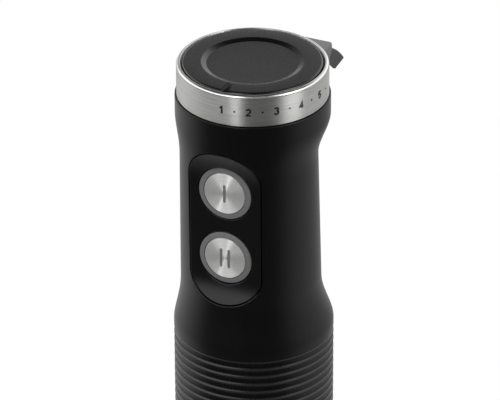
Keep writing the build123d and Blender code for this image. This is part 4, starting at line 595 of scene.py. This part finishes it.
def facet_front(height):
    """How far forward of the axis the panel's face lies at a height."""
    if FLAT_BASE <= height <= FLAT_TOP:
        return FACET_FRONT
    over, bend = (height - FLAT_TOP, FACET_TOP_BEND)
    if height < FLAT_BASE:
        over, bend = (FLAT_BASE - height, FACET_BASE_BEND)
    rise = min(over, BEND_LIMIT * bend)
    return FACET_FRONT + bend - sqrt(bend ** 2 - rise ** 2)


def panel_outline(growth, steps=72):
    """Points round the panel's outline, grown outwards."""
    ends = ((PANEL_TOP_CENTRE, PANEL_TOP_END, 0), (PANEL_BASE_CENTRE, PANEL_BASE_END, pi))
    points = []
    for centre, end, start in ends:
        for k in range(steps + 1):
            turn = start + pi * k / steps
            points.append(((PANEL_HALF + growth) * cos(turn), centre + (end + growth) * sin(turn)))
    return points


def panel_side(across, height):
    """The direction that leads out of the panel's outline, near that outline."""
    if height > PANEL_TOP_CENTRE:
        out = Vector((across / PANEL_HALF ** 2, (height - PANEL_TOP_CENTRE) / PANEL_TOP_END ** 2))
    elif height < PANEL_BASE_CENTRE:
        out = Vector((across / PANEL_HALF ** 2, (height - PANEL_BASE_CENTRE) / PANEL_BASE_END ** 2))
    else:
        out = Vector((across, 0))
    return out.normalized()


print("panel outline:", len(panel_outline(0)), "points")


# %% Sheets with openings
def ruled_sheet(loops, across_lines, along_lines):
    """A flat sheet inside the first loop and outside the others, cut along lines both ways."""
    flat = bmesh.new()
    for loop in loops:
        corners = [flat.verts.new((u, v, 0)) for u, v in loop]
        for a, b in zip(corners, corners[1:] + corners[:1]):
            flat.edges.new((a, b))
    bmesh.ops.triangle_fill(flat, edges=flat.edges[:], use_beauty=True, normal=(0, 0, 1))
    for way, lines in (((1, 0, 0), across_lines), ((0, 1, 0), along_lines)):
        for line in lines:
            bmesh.ops.bisect_plane(flat, geom=flat.verts[:] + flat.edges[:] + flat.faces[:], dist=WELD,
                                   plane_co=Vector(way) * line, plane_no=way)
    flat.verts.index_update()
    return flat


def thick_sheet(flat, place, rim, seam=None):
    """Lays a flat sheet on a form, front and back, and joins the two round every edge but a seam."""
    solid = bmesh.new()
    front = [solid.verts.new(place(v.co.x, v.co.y, 0.0)) for v in flat.verts]
    back = [solid.verts.new(place(v.co.x, v.co.y, 1.0)) for v in flat.verts]
    for face in flat.faces:
        corners = [v.index for v in face.verts]
        solid.faces.new([front[i] for i in corners])
        solid.faces.new([back[i] for i in reversed(corners)])
    sides = {}
    for edge in flat.edges:
        if len(edge.link_faces) != 1 or seam and all(abs(v.co.x) > seam for v in edge.verts):
            continue
        for v in edge.verts:
            if v.index not in sides:
                steps = [solid.verts.new(p) for p in rim(v.co.x, v.co.y)]
                sides[v.index] = [front[v.index]] + steps + [back[v.index]]
        one, other = (sides[v.index] for v in edge.verts)
        for corners in zip(one, one[1:], other[1:], other):
            solid.faces.new(corners)
    flat.free()
    bmesh.ops.remove_doubles(solid, verts=solid.verts, dist=2 * WELD)
    bmesh.ops.dissolve_degenerate(solid, edges=solid.edges, dist=WELD)
    return solid


def rolled(radius, steps=4):
    """Shift and depth of the points of a rolled edge."""
    turns = [pi / 2 * k / steps for k in range(1, steps + 1)]
    return [(radius * sin(a), radius * (1 - cos(a))) for a in turns]


print("steps of a rolled edge:", len(rolled(MM)))

# %% Shell form
SHELL_WALL = 2.4 * MM
PANEL_GROOVE = 0.42 * MM
SHELL_LIP = 0.3 * MM
COLLAR_ROUND = 0.12 * MM
COLLAR_INNER = 28.4 * MM
FACET_ROOM = 4 * MM
FACET_TURN = pi / 4
# the sheet is as wide as a circle of this radius is round, and runs on over the collar's top edge
SHEET_SCALE = 30 * MM
CURL = COLLAR_ROUND * pi / 2
CURL_BASE = COLLAR_TOP - COLLAR_ROUND
SHEET_TOP = CURL_BASE + CURL + (COLLAR_RADIUS - COLLAR_ROUND - COLLAR_INNER)


def shell_row(along):
    """Outer and inner radius and height of the shell for a distance along its outline."""
    beyond = along - CURL_BASE
    if beyond <= 0:
        radius = handle_section(along)[0]
        return (radius, along), (radius - SHELL_WALL, along)
    outer = (COLLAR_RADIUS - COLLAR_ROUND - (beyond - CURL), COLLAR_TOP)
    if beyond < CURL:
        turn = beyond / COLLAR_ROUND
        outer = (COLLAR_RADIUS - COLLAR_ROUND * (1 - cos(turn)), CURL_BASE + COLLAR_ROUND * sin(turn))
    return outer, (COLLAR_INNER, COLLAR_TOP)


def on_shell(across, along, inner):
    """A point of the shell's outer or inner face; the facet pares the outer one down."""
    turn = across / SHEET_SCALE
    radius, height = shell_row(along)[1 if inner else 0]
    shift = handle_section(min(along, COLLAR_TOP))[1]
    x = radius * sin(turn)
    y = -shift - radius * cos(turn)
    beside = panel_low.z - FACET_ROOM < height < panel_high.z + FACET_ROOM and abs(turn) < FACET_TURN
    if beside and not inner:
        y = max(y, -facet_front(height))
    return x, y, height


def shell_rim(across, along):
    """The rolled lip of the panel's opening; the shell's ends stay plain."""
    if along > SHEET_TOP - NEAR or along < GRIP_TOP + NEAR:
        return []
    radius, height = shell_row(along)[0]
    here = Vector((radius * sin(across / SHEET_SCALE), height))
    way = -panel_side(*here)
    lip = []
    for shift, depth in rolled(SHELL_LIP):
        x, z = here + way * shift
        reach, forward = handle_section(z)
        y = max(-forward - sqrt(reach ** 2 - x ** 2), -facet_front(z))
        lip.append((x, y + depth, z))
    return lip


print("sheet for the shell:", round(2 * pi * SHEET_SCALE, 3), "by", round(SHEET_TOP - GRIP_TOP, 3))

# %% Shell
SHELL_HALF_LINES = 72
SHELL_LINES = 70
SHELL_LINE_STEP = 1.5 * MM
CURL_LINES = 4
opening = [(asin(x / handle_section(z)[0]) * SHEET_SCALE, z)
           for x, z in panel_outline(PANEL_GROOVE + SHELL_LIP)]
edge = pi * SHEET_SCALE
across_lines = [edge * k / SHELL_HALF_LINES for k in range(1 - SHELL_HALF_LINES, SHELL_HALF_LINES)]
along_lines = [GRIP_TOP + SHELL_LINE_STEP * k for k in range(1, SHELL_LINES)]
curl_lines = [CURL_BASE + CURL * k / CURL_LINES for k in range(CURL_LINES + 1)]
outline = [(-edge, GRIP_TOP), (edge, GRIP_TOP), (edge, SHEET_TOP), (-edge, SHEET_TOP)]
flat_shell = ruled_sheet([outline, opening], across_lines, along_lines + curl_lines)
piece("handle_moulding", thick_sheet(flat_shell, on_shell, shell_rim, edge - NEAR), "motor_unit",
      "body_black", "handle_shell")

# %% [markdown]
# ## The button panel
# A plate let into the handle's front, flat between the buttons and bent outwards at both ends. It is a
# sheet with two round holes, laid on the facet, with rolled edges all round, so a dark groove is left
# about it.

# %% Panel
PANEL_LIP = 0.3 * MM
PANEL_THICK = 3.0 * MM
PANEL_HOLE = 11.6 * MM
HOLE_ROOM = 0.2 * MM
PANEL_HALF_LINES = 6
PANEL_LINES = 66
PANEL_ACROSS_STEP = 2.5 * MM
PANEL_ALONG_STEP = 1.0 * MM
BUTTON_BODIES = {"button_1": "button_one", "button_2": "button_two"}
BUTTON_HEIGHTS = {name: (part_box(name)[0].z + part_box(name)[1].z) / 2 for name in BUTTON_BODIES}


def on_panel(across, height, back):
    """A point of the panel's face or back."""
    return across, -facet_front(height) + PANEL_THICK * back, height


def panel_rim(across, height):
    """The rolled edge, round the holes and round the outline."""
    here = Vector((across, height))
    way = panel_side(across, height)
    for middle in BUTTON_HEIGHTS.values():
        arm = Vector((0, middle)) - here
        if arm.length < PANEL_HOLE + PANEL_LIP + HOLE_ROOM:
            way = arm.normalized()
    edge = []
    for shift, depth in rolled(PANEL_LIP):
        x, z = here + way * shift
        edge.append((x, -facet_front(z) + depth, z))
    return edge


def ring_of(radius, middle, steps=128):
    """Points of a round hole."""
    turns = [2 * pi * k / steps for k in range(steps)]
    return [(radius * cos(a), middle + radius * sin(a)) for a in turns]


holes = [ring_of(PANEL_HOLE + PANEL_LIP, middle) for middle in BUTTON_HEIGHTS.values()]
flat_panel = ruled_sheet(
    [panel_outline(-PANEL_LIP)] + holes,
    [PANEL_ACROSS_STEP * k for k in range(-PANEL_HALF_LINES, PANEL_HALF_LINES + 1)],
    [panel_low.z + PANEL_ALONG_STEP * k for k in range(1, PANEL_LINES + 1)])
piece("button_plate", thick_sheet(flat_panel, on_panel, panel_rim), "motor_unit", "panel_black",
      "button_panel")

# %% [markdown]
# ## The push buttons
# Each is a grey moulded bezel with a spun metal disc let into it. Both are turned shapes that face -Y.

# %% Bezels
BUTTON_STEPS = 160
BEZEL_RADIUS = 11.2 * MM
BEZEL_DEEP = 5 * MM
BEZEL_CHAMFER = 0.4 * MM
BEZEL_EDGE = 0.35 * MM
BEZEL_RIM = 9.3 * MM
BEZEL_RIM_EDGE = 0.12 * MM
RECESS_RADIUS = 9.05 * MM
RECESS_EDGE = 0.1 * MM
RECESS_DEEP = 1.4 * MM
STEM_RADIUS = 8.0 * MM
STEM_EDGE = 0.3 * MM
# the stem ends where the rubber dome behind it lies when it is pressed flat
STEM_ROOM = 1.65 * MM
BUTTON_FRONTS = {name: -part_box(name + "_face")[0].y for name in BUTTON_BODIES}
# turns a shape made on Z so that its top looks forward, at its button's height
BUTTON_STANDS = {name: Matrix.Translation((0, 0, height)) @ Matrix.Rotation(pi / 2, 4, "X")
                 for name, height in BUTTON_HEIGHTS.items()}
for name, body in BUTTON_BODIES.items():
    front = BUTTON_FRONTS[name]
    back = -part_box(name)[1].y + STEM_ROOM
    profile = [
        (0, back), (STEM_RADIUS, back, STEM_EDGE), (STEM_RADIUS, front - BEZEL_DEEP),
        (BEZEL_RADIUS, front - BEZEL_DEEP), (BEZEL_RADIUS, front - BEZEL_CHAMFER, BEZEL_EDGE),
        (BEZEL_RIM, front, BEZEL_RIM_EDGE), (RECESS_RADIUS, front, RECESS_EDGE),
        (RECESS_RADIUS, front - RECESS_DEEP), (0, front - RECESS_DEEP)]
    piece(name + "_bezel", turned(softened(profile), BUTTON_STEPS, BUTTON_STANDS[name]), body,
          "button_grey", name)

# %% [markdown]
# The scratches of a spun disc run round its middle, so its highlight is a pair of bright fans that meet
# there. The streak noise is read with the distance from that middle, and each disc needs a material of
# its own, because each has its middle in another place.

# %% Spun faces
DISC_RADIUS = 8.8 * MM
DISC_THICK = 1.0 * MM
DISC_EDGE = 0.3 * MM


def spun(middle, along, across):
    """Streaks that run round a disc's own middle, on a face that looks forward."""
    def read(tree, place):
        centred = add(tree, "ShaderNodeMapping", {"Vector": place, "Location": (0, 0, -middle)})
        flat = add(tree, "ShaderNodeVectorMath", {0: centred.outputs[0], 1: (1, 0, 1)},
                   operation="MULTIPLY").outputs[0]
        away = add(tree, "ShaderNodeVectorMath", {0: flat}, operation="LENGTH").outputs["Value"]
        ring = add(tree, "ShaderNodeMath", {0: away, 1: 1 / across}, operation="MULTIPLY").outputs[0]
        slow = add(tree, "ShaderNodeVectorMath", {0: flat, "Scale": 1 / along}, operation="SCALE")
        rings = add(tree, "ShaderNodeCombineXYZ", {"Y": ring}).outputs[0]
        return add(tree, "ShaderNodeVectorMath", {0: slow.outputs[0], 1: rings}).outputs[0]
    return read


for name, body in BUTTON_BODIES.items():
    front = BUTTON_FRONTS[name]
    # spun stainless: rings too fine to see, drawn 0.4 mm wide; reflections smear outwards from the middle
    FINISHES["button_steel"] = metal("spun_stainless_" + name, "#e8e8e6", "#f4f4f1", 0.54,
                                     spun(BUTTON_HEIGHTS[name], 18 * MM, 0.4 * MM), "Y", Anisotropic=1.0,
                                     Anisotropic_Rotation=0.25, Metallic=0.62)
    profile = [(0, front - DISC_THICK), (DISC_RADIUS, front - DISC_THICK), (DISC_RADIUS, front, DISC_EDGE),
               (0, front)]
    piece(name + "_disc", turned(softened(profile), BUTTON_STEPS, BUTTON_STANDS[name]), body,
          "button_steel", name + "_face")

# %% [markdown]
# The marks are one bar and two bars, engraved in the real discs. Here they are thin inlays with round
# ends, a hair proud of the metal, so that they never flicker into it.

# %% Marks
MARK_PROUD = 0.04 * MM
MARK_END_STEPS = 8
# bare engraved steel: the same metal as the disc, left rough by the cutter, so it shines less
FINISHES["engraved_mark"] = metal("engraved_stainless", "#b6b6b4", "#c4c4c2", 0.5,
                                  stretched(3 * MM, 0.5 * MM))
# where each bar stands across the disc, how tall and how wide it is
MARKS = {"button_1": ((0.0,), 7.9 * MM, 1.2 * MM),
         "button_2": ((-1.65 * MM, 1.65 * MM), 8.4 * MM, 1.15 * MM)}
for name, body in BUTTON_BODIES.items():
    places, tall, wide = MARKS[name]
    front = -BUTTON_FRONTS[name]
    bars = bmesh.new()
    for x in places:
        loop = []
        for end, start in ((1, 0), (-1, pi)):
            middle = BUTTON_HEIGHTS[name] + end * (tall - wide) / 2
            for k in range(MARK_END_STEPS + 1):
                turn = start + pi * k / MARK_END_STEPS
                loop.append((x + wide / 2 * cos(turn), middle + wide / 2 * sin(turn)))
        near = [bars.verts.new((u, front - MARK_PROUD, v)) for u, v in loop]
        far = [bars.verts.new((u, front + MARK_PROUD, v)) for u, v in loop]
        bars.faces.new(near)
        bars.faces.new(reversed(far))
        for k in range(len(loop)):
            bars.faces.new((near[k], near[k - 1], far[k - 1], far[k]))
    mark = piece(name + "_mark", bars, body, "engraved_mark")

# %% [markdown]
# ## The leg release buttons
# Two small pads low on the handle, plain blocks with a round edge. They end short of the latch ring
# inside, which gives way on the real object and stays still here, so nothing is cut when a pad is pressed.

# %% Release pads
PAD_WIDE = 11.0 * MM
PAD_TALL = 6.2 * MM
PAD_ROUND = 0.8 * MM
PAD_ROUND_STEPS = 5
PAD_ROOM = 1.55 * MM
for side, way in (("left", -1), ("right", 1)):
    node = "release_button_" + side
    low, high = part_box(node)
    near, far = sorted((abs(low.x), abs(high.x)))
    pad = bmesh.new()
    bmesh.ops.create_cube(pad, size=1.0)
    crown = [e for e in pad.edges if all(v.co.x > 0 for v in e.verts)]
    for v in pad.verts:
        reach = far if v.co.x > 0 else near + PAD_ROOM
        v.co = (reach, v.co.y * PAD_WIDE, (low.z + high.z) / 2 + v.co.z * PAD_TALL)
    bmesh.ops.bevel(pad, geom=crown, offset=PAD_ROUND, offset_type="OFFSET", segments=PAD_ROUND_STEPS,
                    profile=0.5, affect="EDGES")
    for v in pad.verts:
        v.co.x *= way
    piece("release_pad_" + side, pad, "release_" + side, "button_grey", node)

# %% [markdown]
# ## The grip sleeve
# A soft sleeve with nineteen shallow flutes, one above the other. The form is a rule, a radius that dips
# with the height, so a Geometry Nodes tree lays a grid round the axis and works that radius out for every
# row. A dip that is a plain arc looks too round beside the picture, so it is flattened in its middle.

# %% Sleeve
FLUTE_COUNT = 19
FLUTE_PITCH = 3.48 * MM
FLUTE_DEPTH = 0.32 * MM
FLUTE_ROWS = 14
SLEEVE_COLUMNS = 160
SLEEVE_WALL = 2.2 * MM
SLEEVE_CREASE = 50
SLEEVE_TALL = sleeve_high.z - sleeve_low.z
SLEEVE_ROWS = FLUTE_ROWS * round(SLEEVE_TALL / FLUTE_PITCH)
sleeve, settings, at = new_tree("fluted_sleeve", {
    "Radius": GRIP_RADIUS, "Base": sleeve_low.z, "Tall": SLEEVE_TALL,
    "First flute": sleeve_high.z - FLUTE_COUNT * FLUTE_PITCH, "Pitch": FLUTE_PITCH, "Depth": FLUTE_DEPTH,
    "Finish": FINISHES["grip_rubber"]})
grid = add(sleeve, "GeometryNodeMeshGrid", {
    "Size X": 2 * pi, "Size Y": at["Tall"], "Vertices X": SLEEVE_COLUMNS + 1,
    "Vertices Y": SLEEVE_ROWS + 1}).outputs["Mesh"]
place = add(sleeve, "GeometryNodeInputPosition").outputs[0]
split = add(sleeve, "ShaderNodeSeparateXYZ", {0: place}).outputs
at["turn"] = split["X"]
at["row"] = split["Y"]
worked_out(sleeve, at, (
    ("half", "MULTIPLY", "Tall", 0.5),
    ("up", "ADD", "row", "half"),
    ("height", "ADD", "up", "Base"),
    ("above", "SUBTRACT", "height", "First flute"),
    ("phase", "DIVIDE", "above", "Pitch"),
    ("share", "FRACT", "phase"),
    ("fluted", "GREATER_THAN", "above", 0.0),
    ("rest", "SUBTRACT", 1.0, "share"),
    ("bow", "MULTIPLY", "share", "rest"),
    ("round dip", "MULTIPLY", "bow", 4.0),
    # flat in the middle and steep beside the ridges
    ("flattening", "SUBTRACT", 2.0, "round dip"),
    ("dip", "MULTIPLY", "round dip", "flattening"),
    ("sunk", "MULTIPLY", "dip", "Depth"),
    ("inset", "MULTIPLY", "sunk", "fluted"),
    ("reach", "SUBTRACT", "Radius", "inset"),
    ("sine", "SINE", "turn"),
    ("cosine", "COSINE", "turn"),
    ("x", "MULTIPLY", "sine", "reach"),
    ("y", "MULTIPLY", "cosine", "reach")))
laid = add(sleeve, "ShaderNodeCombineXYZ", {"X": at["x"], "Y": at["y"], "Z": at["height"]}).outputs[0]
bent = add(sleeve, "GeometryNodeSetPosition", {"Geometry": grid, "Position": laid}).outputs[0]
closed = add(sleeve, "GeometryNodeMergeByDistance", {"Geometry": bent, "Distance": NEAR}).outputs[0]
ended(sleeve, closed, at["Finish"])
sleeve_mesh = grown(sleeve, settings)

# %% Sleeve wall
walls = bmesh.new()
walls.from_mesh(sleeve_mesh)
bmesh.ops.recalc_face_normals(walls, faces=walls.faces)
if sum(f.normal.xy.dot(f.calc_center_median().xy) for f in walls.faces) < 0:
    bmesh.ops.reverse_faces(walls, faces=walls.faces)
walls.to_mesh(sleeve_mesh)
walls.free()
fluted_piece = dressed("fluted_sleeve", sleeve_mesh, "motor_unit", "grip_rubber", "grip_sleeve",
                       crease=SLEEVE_CREASE)
wall = fluted_piece.modifiers.new("wall", "SOLIDIFY")
wall.thickness = SLEEVE_WALL
wall.offset = -1

# %% [markdown]
# ## Cord hood and boot
# The hood behind the collar is right as a solid, but its edges are knife-sharp. A merged copy of its mesh
# gets the edges that stand clear of the handle rounded with a small bevel, as a moulding tool would leave
# them.

# %% Hood
SHELL_REACH = 33.0 * MM
HOOD_WIDER = 1.05
HOOD_EDGE = 0.35 * MM
HOOD_EDGE_STEPS = 3
HOOD_SHARP = radians(30)
HOOD_FLAT = radians(1)
hood = bmesh.new()
hood.from_mesh(frame["nodes"]["cord_hood"].data)
bmesh.ops.remove_doubles(hood, verts=hood.verts, dist=NEAR)
bmesh.ops.dissolve_limit(hood, angle_limit=HOOD_FLAT, verts=hood.verts, edges=hood.edges)
sharp = [e for e in hood.edges if len(e.link_faces) == 2 and e.calc_face_angle() > HOOD_SHARP
         and all(v.co.y > SHELL_REACH for v in e.verts)]
bmesh.ops.bevel(hood, geom=sharp, offset=HOOD_EDGE, offset_type="OFFSET", segments=HOOD_EDGE_STEPS,
                profile=0.5, affect="EDGES", clamp_overlap=True)
for v in hood.verts:
    v.co.x *= HOOD_WIDER
piece("moulded_hood", hood, "motor_unit", "hood_grey", "cord_hood")

# %% [markdown]
# The boot under the hood is a soft channel with a thin wall, open underneath. Its section stays the same
# while it leans outwards and bows a little, so it is built from sections that are set out along that line.

# %% Boot
BOOT_HALF = 11.0 * MM
BOOT_WALL = 1.0 * MM
BOOT_ROOF = 1.2 * BOOT_WALL
BOOT_SHOULDER = 1.1 * MM
BOOT_DEEP = 6.0 * MM
BOOT_BOW = 0.7 * MM
BOOT_SECTIONS = 12
BOOT_CREASE = 40
boot_low, boot_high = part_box("cord_boot")
# ends of the outer and inner line, as distance behind the axis and height
BOOT_ROOT = Vector((52.1 * MM, boot_high.z))
BOOT_TIP = Vector((boot_high.y, boot_low.z + 0.7 * MM))
BOOT_INNER_ROOT = Vector((boot_low.y, boot_high.z - 4.25 * MM))
BOOT_INNER_TIP = Vector((55.0 * MM, boot_low.z - 0.3 * MM))


def boot_ring(share):
    """One section of the boot, a channel with round shoulders that is open underneath."""
    turns = [radians(a) for a in range(0, 91, 15)]
    line = [(BOOT_HALF - BOOT_SHOULDER * (1 - sin(a)), BOOT_SHOULDER * (1 - cos(a))) for a in turns]
    inside = BOOT_HALF - BOOT_WALL
    line += [(BOOT_HALF, BOOT_DEEP), (inside, BOOT_DEEP), (inside, BOOT_ROOF)]
    line = [(-x, depth) for x, depth in reversed(line)] + line
    bow = Vector((1, 1)).normalized() * BOOT_BOW * 4 * share * (1 - share)
    outer = BOOT_ROOT.lerp(BOOT_TIP, share) + bow
    inner = BOOT_INNER_ROOT.lerp(BOOT_INNER_TIP, share)
    return [(x, *outer.lerp(inner, depth / BOOT_DEEP)) for x, depth in line]


boot = bmesh.new()
sections = [[boot.verts.new(p) for p in boot_ring(k / BOOT_SECTIONS)] for k in range(BOOT_SECTIONS + 1)]
for one, other in zip(sections, sections[1:]):
    for k in range(len(one)):
        boot.faces.new((one[k], one[k - 1], other[k - 1], other[k]))
boot.faces.new(sections[0])
boot.faces.new(sections[-1])
bmesh.ops.triangulate(boot, faces=[f for f in boot.faces if len(f.verts) > 4])
piece("bend_relief", boot, "motor_unit", "boot_rubber", "cord_boot", crease=BOOT_CREASE)

# %% [markdown]
# ## What keeps its CAD node
# The leg, the guard, the blade and everything inside the housing keep the shapes that they were built
# with. Each gets the finish of its slot in the record, on its own material slot.

# %% Finishes for the CAD nodes
for part in frame["record"]["subparts"]:
    skin = frame["nodes"][part["node"]].data.materials
    skin.clear()
    skin.append(FINISHES[part["material_slot"]])

# %% [markdown]
# ## The floor
# White paper that catches the shadow. It fades out before its edge, so that it has none, and it glows a
# little, because paper on a studio table also gets light from all round. Reflections see most of it as
# clear, so that the metal shows the room.

# %% Floor
FLOOR_REACH = 0.42
FLOOR_SIDES = 96
FADE_START = 0.2
FADE_END = 0.4
PAPER_GLOW = 0.25
CLEAR_IN_GLOSS = 0.7
floor_shape = bmesh.new()
bmesh.ops.create_circle(floor_shape, cap_ends=True, radius=FLOOR_REACH, segments=FLOOR_SIDES)
floor_mesh = bpy.data.meshes.new("floor")
floor_shape.to_mesh(floor_mesh)
floor_shape.free()
floor = bpy.data.objects.new("floor", floor_mesh)
bpy.context.scene.collection.objects.link(floor)
# matt white paper: no gloss at all, so a plain diffuse shader takes the place of the usual one
paper, tree, place, shader = finish("white_paper")
tree.nodes.remove(shader)
away = add(tree, "ShaderNodeVectorMath", {0: place}, operation="LENGTH").outputs["Value"]
fade = add(tree, "ShaderNodeMapRange", {"Value": away, "From Min": FADE_START, "From Max": FADE_END},
           interpolation_type="SMOOTHSTEP").outputs[0]
matt = add(tree, "ShaderNodeBsdfDiffuse", {"Color": hue("#f2f2f2")}).outputs[0]
glow = add(tree, "ShaderNodeEmission", {"Color": hue("#ffffff"), "Strength": PAPER_GLOW}).outputs[0]
lit = add(tree, "ShaderNodeAddShader", {0: matt, 1: glow}).outputs[0]
clear = add(tree, "ShaderNodeBsdfTransparent").outputs[0]
mirrored = add(tree, "ShaderNodeLightPath").outputs["Is Glossy Ray"]
glossy = add(tree, "ShaderNodeMath", {0: mirrored, 1: CLEAR_IN_GLOSS}, operation="MULTIPLY").outputs[0]
thin = add(tree, "ShaderNodeMath", {0: fade, 1: glossy}, operation="MAXIMUM").outputs[0]
mixed = add(tree, "ShaderNodeMixShader", {0: thin, 1: lit, 2: clear}).outputs[0]
output = next(n for n in tree.nodes if n.type == "OUTPUT_MATERIAL")
tree.links.new(mixed, output.inputs["Surface"])
floor_mesh.materials.append(paper)
print("floor reach:", FLOOR_REACH)

# %% [markdown]
# ## The room
# Black plastic has hardly any colour of its own, so what it shows is the room. Reflections see a white
# tent with a dark gap by the camera, a dim patch behind and a dark ceiling; everything else sees an even
# light, and the camera sees white. Each patch is one coat over the coats before it.

# %% World
EVEN_LIGHT = 0.5
WHITE = 1.0
world = bpy.data.worlds.new("studio")
bpy.context.scene.world = world
world.use_nodes = True
world.cycles.sampling_method = "NONE"
tree = world.node_tree
tree.nodes.clear()
way = add(tree, "ShaderNodeTexCoord").outputs["Generated"]
flat_way = add(tree, "ShaderNodeVectorMath", {0: way, 1: (1, 1, 0)}, operation="MULTIPLY").outputs[0]
level_way = add(tree, "ShaderNodeVectorMath", {0: flat_way}, operation="NORMALIZE").outputs[0]
rise = add(tree, "ShaderNodeSeparateXYZ", {0: way}).outputs["Z"]


def painted(level, *coats):
    """Lays coats over a level. A coat has its own level and limits: a range of the rise of the way that a
    ray takes, or an azimuth from the front with the angles from it where the coat starts and is full."""
    for coat, *limits in coats:
        share = 1.0
        for *azimuth, start, full in limits:
            reading = rise
            if azimuth:
                turn = radians(azimuth[0])
                aim = (sin(turn), -cos(turn), 0.0)
                reading = add(tree, "ShaderNodeVectorMath", {0: level_way, 1: aim},
                              operation="DOT_PRODUCT").outputs["Value"]
                start = cos(radians(start))
                full = cos(radians(full))
            step = add(tree, "ShaderNodeMapRange", {"Value": reading, "From Min": start, "From Max": full},
                       interpolation_type="SMOOTHSTEP").outputs[0]
            share = add(tree, "ShaderNodeMath", {0: share, 1: step}, operation="MULTIPLY").outputs[0]
        level = add(tree, "ShaderNodeMix", {"Factor": share, "A": level, "B": coat}).outputs[0]
    return level


tent = painted(
    1.6,
    (2.05, (-75, 75, 50)),  # brighter on the left
    (0.46, (0.1, 0.26), (216, 30, 15)),  # a dim patch behind, above the table
    (0.3, (37.5, 31, 29)),  # the gap by the camera
    (0.02, (0.58, 0.74)))  # the ceiling
below = painted(0.03, (0.4, (152, 92, 30)), (0.6, (-120, 80, 5)))
room = painted(below, (tent, (-0.1, 0.2)))
seen = add(tree, "ShaderNodeLightPath").outputs
level = EVEN_LIGHT
for ray, light in (("Is Glossy Ray", room), ("Is Camera Ray", WHITE), ("Is Transmission Ray", WHITE)):
    level = add(tree, "ShaderNodeMix", {"Factor": seen[ray], "A": level, "B": light}).outputs[0]
sky = add(tree, "ShaderNodeBackground", {"Color": hue("#ffffff"), "Strength": level})
add(tree, "ShaderNodeOutputWorld", {"Surface": sky.outputs[0]})
print("world nodes:", len(tree.nodes))

# %% [markdown]
# ## Softboxes
# Three large ones, left, right and overhead, light the object. Reflections don't see them, because the
# tent already stands for them there. Two narrow strips do the opposite: they are seen in reflections
# alone, and draw the bright bars on the ring and the buttons.

# %% Lights
LIGHT_AIM = 0.37
# name, azimuth from the front, height, distance, width, tallness, power, and whether only mirrored
SOFTBOXES = (
    ("box_left", -45, 1.4, 1.7, 1.5, 1.5, 11, False),
    ("box_right", 80, 1.3, 1.7, 1.2, 1.5, 7, False),
    ("box_top", 25, 2.2, 0.3, 1.6, 1.6, 10, False),
    ("strip_left", -0.5, 0.53, 0.2, 0.046, 0.2, 0.13, True),
    ("strip_right", 86, 0.53, 0.2, 0.107, 0.2, 0.26, True),
)
for name, azimuth, height, away, wide, tall, power, mirrored in SOFTBOXES:
    light = bpy.data.lights.new(name, "AREA")
    light.shape = "RECTANGLE"
    light.size = wide
    light.size_y = tall
    light.energy = power
    lamp = bpy.data.objects.new(name, light)
    bpy.context.scene.collection.objects.link(lamp)
    spot = Vector((away * sin(radians(azimuth)), -away * cos(radians(azimuth)), height))
    turn = (spot - Vector((0, 0, LIGHT_AIM))).to_track_quat("Z", "Y").to_matrix().to_4x4()
    lamp.matrix_world = Matrix.Translation(spot) @ turn
    lamp.visible_camera = False
    lamp.visible_glossy = mirrored
    lamp.visible_diffuse = not mirrored
print("softboxes:", len(SOFTBOXES))

# %% [markdown]
# ## The camera
# It was fitted to the ring's edges, the button faces and the flutes of the grip, so it stands where the
# picture was taken from. The lens follows from the focal length in pixels and the width of the frame.

# %% Camera
VIEW_AZIMUTH = radians(25.0)
CAMERA_AWAY = 1.637446
CAMERA_HEIGHT = 1.2377
CAMERA_PITCH = radians(28.913)
CAMERA_ROLL = radians(-0.263)
FOCAL_PIXELS = 4699.61
FRAME_PIXELS = 500
AXIS_PIXEL_SHIFT = 3.287
SENSOR_WIDTH = 36.0
FAR_CLIP = 50
lens = bpy.data.cameras.new("camera")
lens.sensor_fit = "HORIZONTAL"
lens.sensor_width = SENSOR_WIDTH
lens.lens = FOCAL_PIXELS / FRAME_PIXELS * SENSOR_WIDTH
lens.shift_x = -AXIS_PIXEL_SHIFT / FRAME_PIXELS
lens.clip_end = FAR_CLIP
eye = bpy.data.objects.new("camera", lens)
bpy.context.scene.collection.objects.link(eye)
eye.matrix_world = (
    Matrix.Translation((CAMERA_AWAY * sin(VIEW_AZIMUTH), -CAMERA_AWAY * cos(VIEW_AZIMUTH), CAMERA_HEIGHT))
    @ Matrix.Rotation(VIEW_AZIMUTH, 4, "Z") @ Matrix.Rotation(pi / 2 - CAMERA_PITCH, 4, "X")
    @ Matrix.Rotation(CAMERA_ROLL, 4, "Z"))
bpy.context.scene.camera = eye
bpy.context.scene.view_settings.view_transform = "Standard"
print("lens:", round(lens.lens, 1), "mm")
